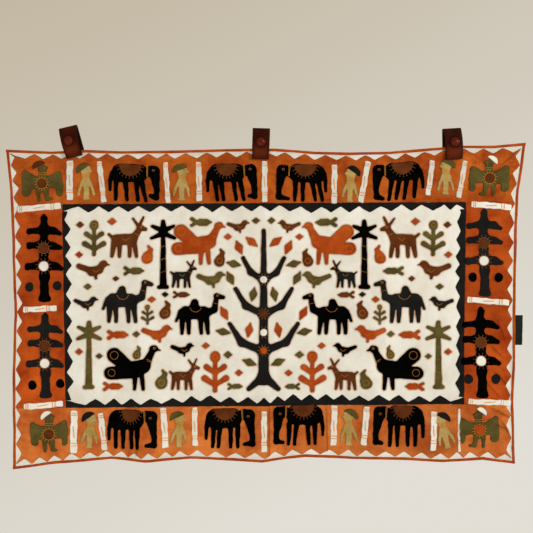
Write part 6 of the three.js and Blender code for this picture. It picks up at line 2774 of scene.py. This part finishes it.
@dataclass
class Straps:
    """Folded leather straps, each closed by a stud."""

    above: float = 33
    below: float = 41
    thickness: float = 3
    places: tuple[StrapPlace, ...] = (
        StrapPlace("left", -450, 3, 13.4, 42.5, 38, 5.6, -3, 5),
        StrapPlace("middle", 0, 0, -1.8, 41, 39, 0.5, 0.5, -1),
        StrapPlace("right", 454.5, 0, 3.4, 42, 41, -5, 3, -4),
    )
    stud_radius: float = 10.5
    stud_height: float = 6
    stud_shank: float = 2.2
    stud_rim: float = 0.9
    stud_around: int = 40
    edge_radius: float = 0.9
    end_round: float = 3.0
    # Painted highlight and painted shade on the front leaf: where they lie, how wide they are and how
    # strong.
    highlight_at: float = -24
    highlight_reach: float = 11
    highlight_strength: float = 0.5
    shade_at: float = 14
    shade_reach: float = 13
    shade_share: float = 0.35

    def centre_line(self) -> Array:
        """Middle of the leather's thickness, from the foot of the front leaf to the back one's.

        Returns:
            Points of the line: depth and height.
        """
        outer = -LAYERS.strap_front / 2
        middle = outer - self.thickness / 2
        centre = self.above - outer
        front = [(-outer - middle, z) for z in np.linspace(-self.below, centre, 40)]
        bend = [
            (-outer - middle * math.cos(a), centre + middle * math.sin(a))
            for a in np.linspace(0, math.pi, 16)[1:-1]
        ]
        back = [(-outer + middle, z) for z in np.linspace(centre, -self.below, 22)]
        return np.array(front + bend + back)

    def section(self, width: float) -> Array:
        """Round edged section of the leather: across and out of its face.

        Args:
            width: width of the leather.

        Returns:
            Points of the section.
        """
        half, thick, edge = width / 2, self.thickness / 2, self.edge_radius
        points = []
        for corner_x, corner_y, start in (
            (half - edge, thick - edge, 0),
            (-half + edge, thick - edge, 90),
            (-half + edge, -thick + edge, 180),
            (half - edge, -thick + edge, 270),
        ):
            for step in range(4):
                angle = math.radians(start + step * 30)
                points.append((corner_x + edge * math.cos(angle), corner_y + edge * math.sin(angle)))
            if start in (0, 180):
                sign = 1 if start == 0 else -1
                for share in (0.75, 0.5, 0.25, 0, -0.25, -0.5, -0.75):
                    points.append((sign * share * (half - edge), sign * thick))
        return np.array(points)

    def build(self, shop: Workshop) -> None:
        """Makes the straps and studs.

        Args:
            shop: the workshop.
        """
        for place in self.places:
            self.strap(shop, place)
            self.stud(place)

    def strap(self, shop: Workshop, place: StrapPlace) -> None:
        """Makes one strap.

        Args:
            shop: the workshop.
            place: the strap's place.
        """
        path = self.centre_line()
        along = np.gradient(path, axis=0)
        along /= np.hypot(*along.T)[:, None]
        outwards = np.stack([-along[:, 1], along[:, 0]], axis=1)
        height = self.above + self.below
        draw = np.random.default_rng(shop.next_seed())
        phase = draw.uniform(0, 6, 4)
        rings, tones = [], []
        for (y, z), out in zip(path, outwards):
            share = (self.above - z) / height
            front = y < LAYERS.strap_front / 2
            drift = place.bow * math.sin(math.pi * min(max(share, 0), 1)) if front else place.back * share
            width = place.top + share * (place.bottom - place.top)
            section = self.section(width)
            end = np.clip((z + self.below) / self.end_round, 0, 1)
            squeeze = 0.55 + 0.45 * math.sqrt(1 - (1 - end) ** 2)
            x = section[:, 0] + drift + place.offset
            rise = section[:, 1] * squeeze
            near = np.exp(-((x**2 + z**2) / 13.5**2)) if front else 0
            foot = math.exp(-(((z + self.below) / 14) ** 2)) if front else 0
            curl = 0.25 * math.sin(z / 7.3 + phase[0]) + 0.2 * np.sin(x / 8.1 + phase[1])
            shift = (-0.55 * near + 0.9 * foot + 0.25 * curl) if front else np.zeros(len(x))
            rings.append(np.column_stack([x, y + (rise + shift) * out[0], z + rise * out[1]]))
            # Painted light on the front leaf: a painted highlight band across its lower part, painted shade
            # near the fold at the top and along both sides, and a ring round the stud darkened as painted
            # shadow and pressed leather. The whole back leaf is darkened as painted shade.
            side = np.clip(np.abs(section[:, 0]) / (width / 2), 0, 1)
            glow = self.highlight_strength * math.exp(-(((z - self.highlight_at) / self.highlight_reach) ** 2))
            glow = glow * (1 - 0.85 * side**3)
            glow = glow - self.shade_share * math.exp(-(((z - self.shade_at) / self.shade_reach) ** 2))
            rim = np.clip((np.abs(section[:, 0]) - width / 2 + 1.6) / 1.4, 0, 1)
            pressed_and_shadow = np.exp(-(((np.hypot(x, z) - self.stud_radius) / 2.6) ** 2))
            tones.append(glow - 0.45 * rim - 0.75 * pressed_and_shadow if front else np.full(len(x), -0.75))
        count, around = len(rings), len(rings[0])
        points = np.vstack(rings)
        index = np.arange(count * around).reshape(count, around)
        nxt = np.roll(index, -1, axis=1)
        quads = np.stack([index[:-1], index[1:], nxt[1:], nxt[:-1]], axis=-1).reshape(-1, 4)
        caps = [list(index[0]), list(index[-1][::-1])]
        turn = math.radians(-place.lean)
        spun = points.copy()
        spun[:, 0] = points[:, 0] * math.cos(turn) + points[:, 2] * math.sin(turn) + place.x
        spun[:, 2] = -points[:, 0] * math.sin(turn) + points[:, 2] * math.cos(turn) + place.z
        shell = Shell()
        shell.add(spun, quads, spun[:, (0, 2)] * MM, np.concatenate(tones))
        shell.faces.append(np.array(caps))
        piece = shell.piece(f"leather_strap_{place.name}", LeatherFinish())
        outward_faces(piece)
        self.dress(piece, LeatherFinish.slot, f"strap_{place.name}")

    def stud(self, place: StrapPlace) -> None:
        """Makes one stud as a turned form with a rolled rim and a domed head.

        Args:
            place: the place of the stud's strap.
        """
        face = LAYERS.strap_front + 0.25
        end = -(LAYERS.wall_leaf + 0.3)
        r, h, rim = self.stud_radius, self.stud_height, self.stud_rim
        profile = [(0.0, end), (self.stud_shank, end), (self.stud_shank, face), (r - 1.6, face)]
        for degrees in range(-90, 91, 30):
            angle = math.radians(degrees)
            profile.append((r - rim + rim * math.cos(angle), face - rim - rim * math.sin(angle)))
        profile.append((r - 1.7, face - 1.75))
        for step in range(1, 11):
            angle = math.pi / 2 * step / 10
            radius = (r - 1.9) * math.cos(angle)
            profile.append((max(radius, 0.0), face - 1.7 - (h - 1.7) * math.sin(angle)))
        around = self.stud_around
        turn = np.linspace(0, math.tau, around, endpoint=False)
        points, faces, tones = [], [], []
        for radius, y in profile:
            x, z = radius * np.cos(turn), radius * np.sin(turn)
            points.append(np.column_stack([x, np.full(around, y), z]))
            tones.append(np.full(around, 0.55 if abs(radius - r) < 0.5 else 0.08))
        for number in range(len(profile) - 1):
            a = number * around + np.arange(around)
            b = number * around + (np.arange(around) + 1) % around
            faces.append(np.stack([a, b, b + around, a + around], axis=1))
        places = np.vstack(points) + (place.x, 0, place.z)
        shell = Shell()
        shell.add(places, np.vstack(faces), places[:, (0, 2)] * MM, np.concatenate(tones))
        piece = shell.piece(f"strap_stud_{place.name}", StudFinish())
        outward_faces(piece)
        self.dress(piece, StudFinish.slot, f"stud_{place.name}")

    @staticmethod
    def dress(piece: bpy.types.Object, slot: str, node: str) -> None:
        """Rides a piece and hides the solid that it stands for.

        Args:
            piece: the piece.
            slot: its material slot, not used.
            node: the solid that it stands for.
        """
        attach(piece, "root")
        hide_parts(node)
        LOG.info("%s: %d faces", piece.name, len(piece.data.polygons))


def outward_faces(piece: bpy.types.Object) -> None:
    """Merges doubled points of a closed piece and turns its faces outwards.

    Args:
        piece: the piece.
    """
    form = bmesh.new()
    form.from_mesh(piece.data)
    bmesh.ops.remove_doubles(form, verts=form.verts, dist=1e-6)
    bmesh.ops.recalc_face_normals(form, faces=form.faces)
    form.to_mesh(piece.data)
    form.free()


@dataclass
class Tab:
    """Bare woven tab sewn behind the right edge."""

    inner: float = 590
    outer: float = 616
    top: float = -406
    bottom: float = -476
    taper: float = 2
    thickness: float = 1
    ribs: float = 2.4
    columns: int = 40
    rows: int = 36

    def build(self, shop: Workshop) -> bpy.types.Object:
        """Makes the tab.

        Args:
            shop: the workshop.

        Returns:
            The tab.
        """
        columns, rows = self.columns, self.rows
        across, up = unit_grid(columns, rows)
        z = self.bottom + up * (self.top - self.bottom)
        right = self.outer - self.taper * (1 - up)
        x = self.inner + across * (right - self.inner)
        back = LAYERS.binding_back + 0.3 + self.thickness
        free = ease(self.inner + 8, self.outer, x)
        curl = -1.4 * free**2 * (0.6 + 0.4 * np.cos(math.pi * up))
        rib = 0.12 * np.sin(math.tau * x / self.ribs)
        edge = np.minimum(np.minimum(across, 1 - across) * 26, np.minimum(up, 1 - up) * 70)
        hem = 0.22 * np.exp(-((edge - 1.6) ** 2) / 1.2)
        depth = DRAPE.depth(x, z) + curl
        flat = np.column_stack([x.ravel(), z.ravel()])
        front = np.column_stack([x.ravel(), (depth + back - self.thickness - rib - hem).ravel(), z.ravel()])
        rear = np.column_stack([x.ravel(), (depth + back).ravel(), z.ravel()])
        shell = Shell()
        shell.add(
            np.vstack([front, rear]),
            slab_faces(columns, rows),
            np.vstack([flat, flat]) * MM,
            np.concatenate([1 + 0.25 * np.sin(math.tau * flat[:, 0] / self.ribs), np.ones(len(flat))]),
        )
        finish = ClothFinish(
            "label_cloth", (31, 37, 34), (40, 46, 42), (24, 28, 26), 0.4, 30.0, 0.4, sheen=0.0, shine=0.02
        )
        piece = shell.piece("woven_tab", finish)
        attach(piece, "root")
        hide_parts("label_tab")
        shop.pieces.append(piece)
        return piece


# The studio


@dataclass
class Studio:
    """Pale floor, soft light and the camera square to the cloth."""

    view_width: float = 1.2456
    distance: float = 1.6
    sensor: float = 36.0
    camera_x: float = 0.0136
    camera_z: float = -0.2917
    cloth_depth: float = -0.012
    floor_z: float = -1.6
    floor_half: float = 1.25
    aim: tuple[float, float, float] = (0.01, 0, -0.36)
    sky_high: Colour = (193, 181, 159)
    sky_low: Colour = (226, 222, 213)
    floor_colour: Colour = (224, 219, 210)

    def build(self) -> None:
        """Makes the camera, the lights, the world and the floor."""
        data = bpy.data.cameras.new("view")
        data.sensor_width = self.sensor
        data.lens = self.sensor * self.distance / self.view_width
        camera = bpy.data.objects.new("view", data)
        camera.location = (self.camera_x, self.cloth_depth - self.distance, self.camera_z)
        camera.rotation_euler = (math.pi / 2, 0, 0)
        bpy.context.scene.collection.objects.link(camera)
        bpy.context.scene.camera = camera
        self.light("key", (2.9, -2.0, 0.75), 69, 0.8, (1.0, 0.98, 0.95))
        self.light("fill", (-1.3, -1.7, -1.25), 12, 1.6, (1.0, 0.98, 0.96))
        self.light("rear", (0.4, 2.0, 0.6), 14, 1.8, (1.0, 0.98, 0.96))
        self.world()
        self.floor()
        bpy.context.scene.view_settings.view_transform = "Standard"

    def light(
        self, name: str, place: Sequence[float], watts: float, size: float, colour: Sequence[float]
    ) -> None:
        """Adds a soft square light that points at the middle of the cloth.

        Args:
            name: name of the light.
            place: where it stands.
            watts: its strength.
            size: length of its side.
            colour: its colour.
        """
        data = bpy.data.lights.new(name, "AREA")
        data.energy = watts
        data.size = size
        data.color = colour
        lamp = bpy.data.objects.new(name, data)
        lamp.location = place
        aim = Vector(self.aim) - Vector(place)
        lamp.rotation_euler = aim.to_track_quat("-Z", "Y").to_euler()
        bpy.context.scene.collection.objects.link(lamp)

    def world(self) -> None:
        """Plain pale surroundings, slightly warmer towards the upper left."""
        world = bpy.data.worlds.new("pale")
        bpy.context.scene.world = world
        nodes = NodeBoard(world)
        parts = nodes.add("ShaderNodeSeparateXYZ")
        nodes.feed(parts, 0, nodes.add("ShaderNodeTexCoord").outputs["Generated"])
        slope = nodes.maths("SUBTRACT", nodes.maths("MULTIPLY", parts.outputs[0], 0.45), parts.outputs[2])
        shade = nodes.mix(nodes.spread(slope, -0.55, 0.36), srgb(self.sky_high), srgb(self.sky_low))
        glow = nodes.add("ShaderNodeBackground")
        nodes.feed(glow, "Color", shade)
        nodes.feed(nodes.add("ShaderNodeOutputWorld"), 0, glow.outputs[0])

    def floor(self) -> None:
        """Plain pale floor well below the cloth."""
        half, z = self.floor_half, self.floor_z
        mesh = bpy.data.meshes.new("floor")
        corners = [(-half, -half, z), (half, -half, z), (half, half, z), (-half, half, z)]
        mesh.from_pydata(corners, [], [(0, 1, 2, 3)])
        nodes = NodeBoard("floor")
        speckle = nodes.noise(nodes.object_place(), 60.0, 3.0, 0.5)
        base = nodes.brightness(srgb(self.floor_colour), nodes.spread(speckle, 0.3, 0.7, 0.98, 1.02))
        mesh.materials.append(nodes.finish(base, roughness=0.85, height=speckle, bump=0.02, distance=0.001))
        floor = bpy.data.objects.new("floor", mesh)
        bpy.context.scene.collection.objects.link(floor)


def main() -> None:
    """Builds the hanging piece by piece."""
    logging.basicConfig(level=logging.INFO, format="%(name)s %(message)s")
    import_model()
    Studio().build()
    shop = Workshop()
    sewn = Bands().build(shop)
    BorderMotifs().build(shop)
    sewn += FieldDesign().build(shop)
    sheet = GroundCloth().build(shop, sewn)
    Binding().build(shop)
    Straps().build(shop)
    Tab().build(shop)
    stitcher = StitchNodes()
    for number, runs in enumerate(shop.runs.values()):
        if runs.lines:
            shop.pieces.append(stitcher.piece(runs, number))
    total = sum(len(piece.data.polygons) for piece in shop.pieces)
    LOG.info("%d pieces, %d faces", len(shop.pieces), total)


if __name__ == "__main__":
    main()
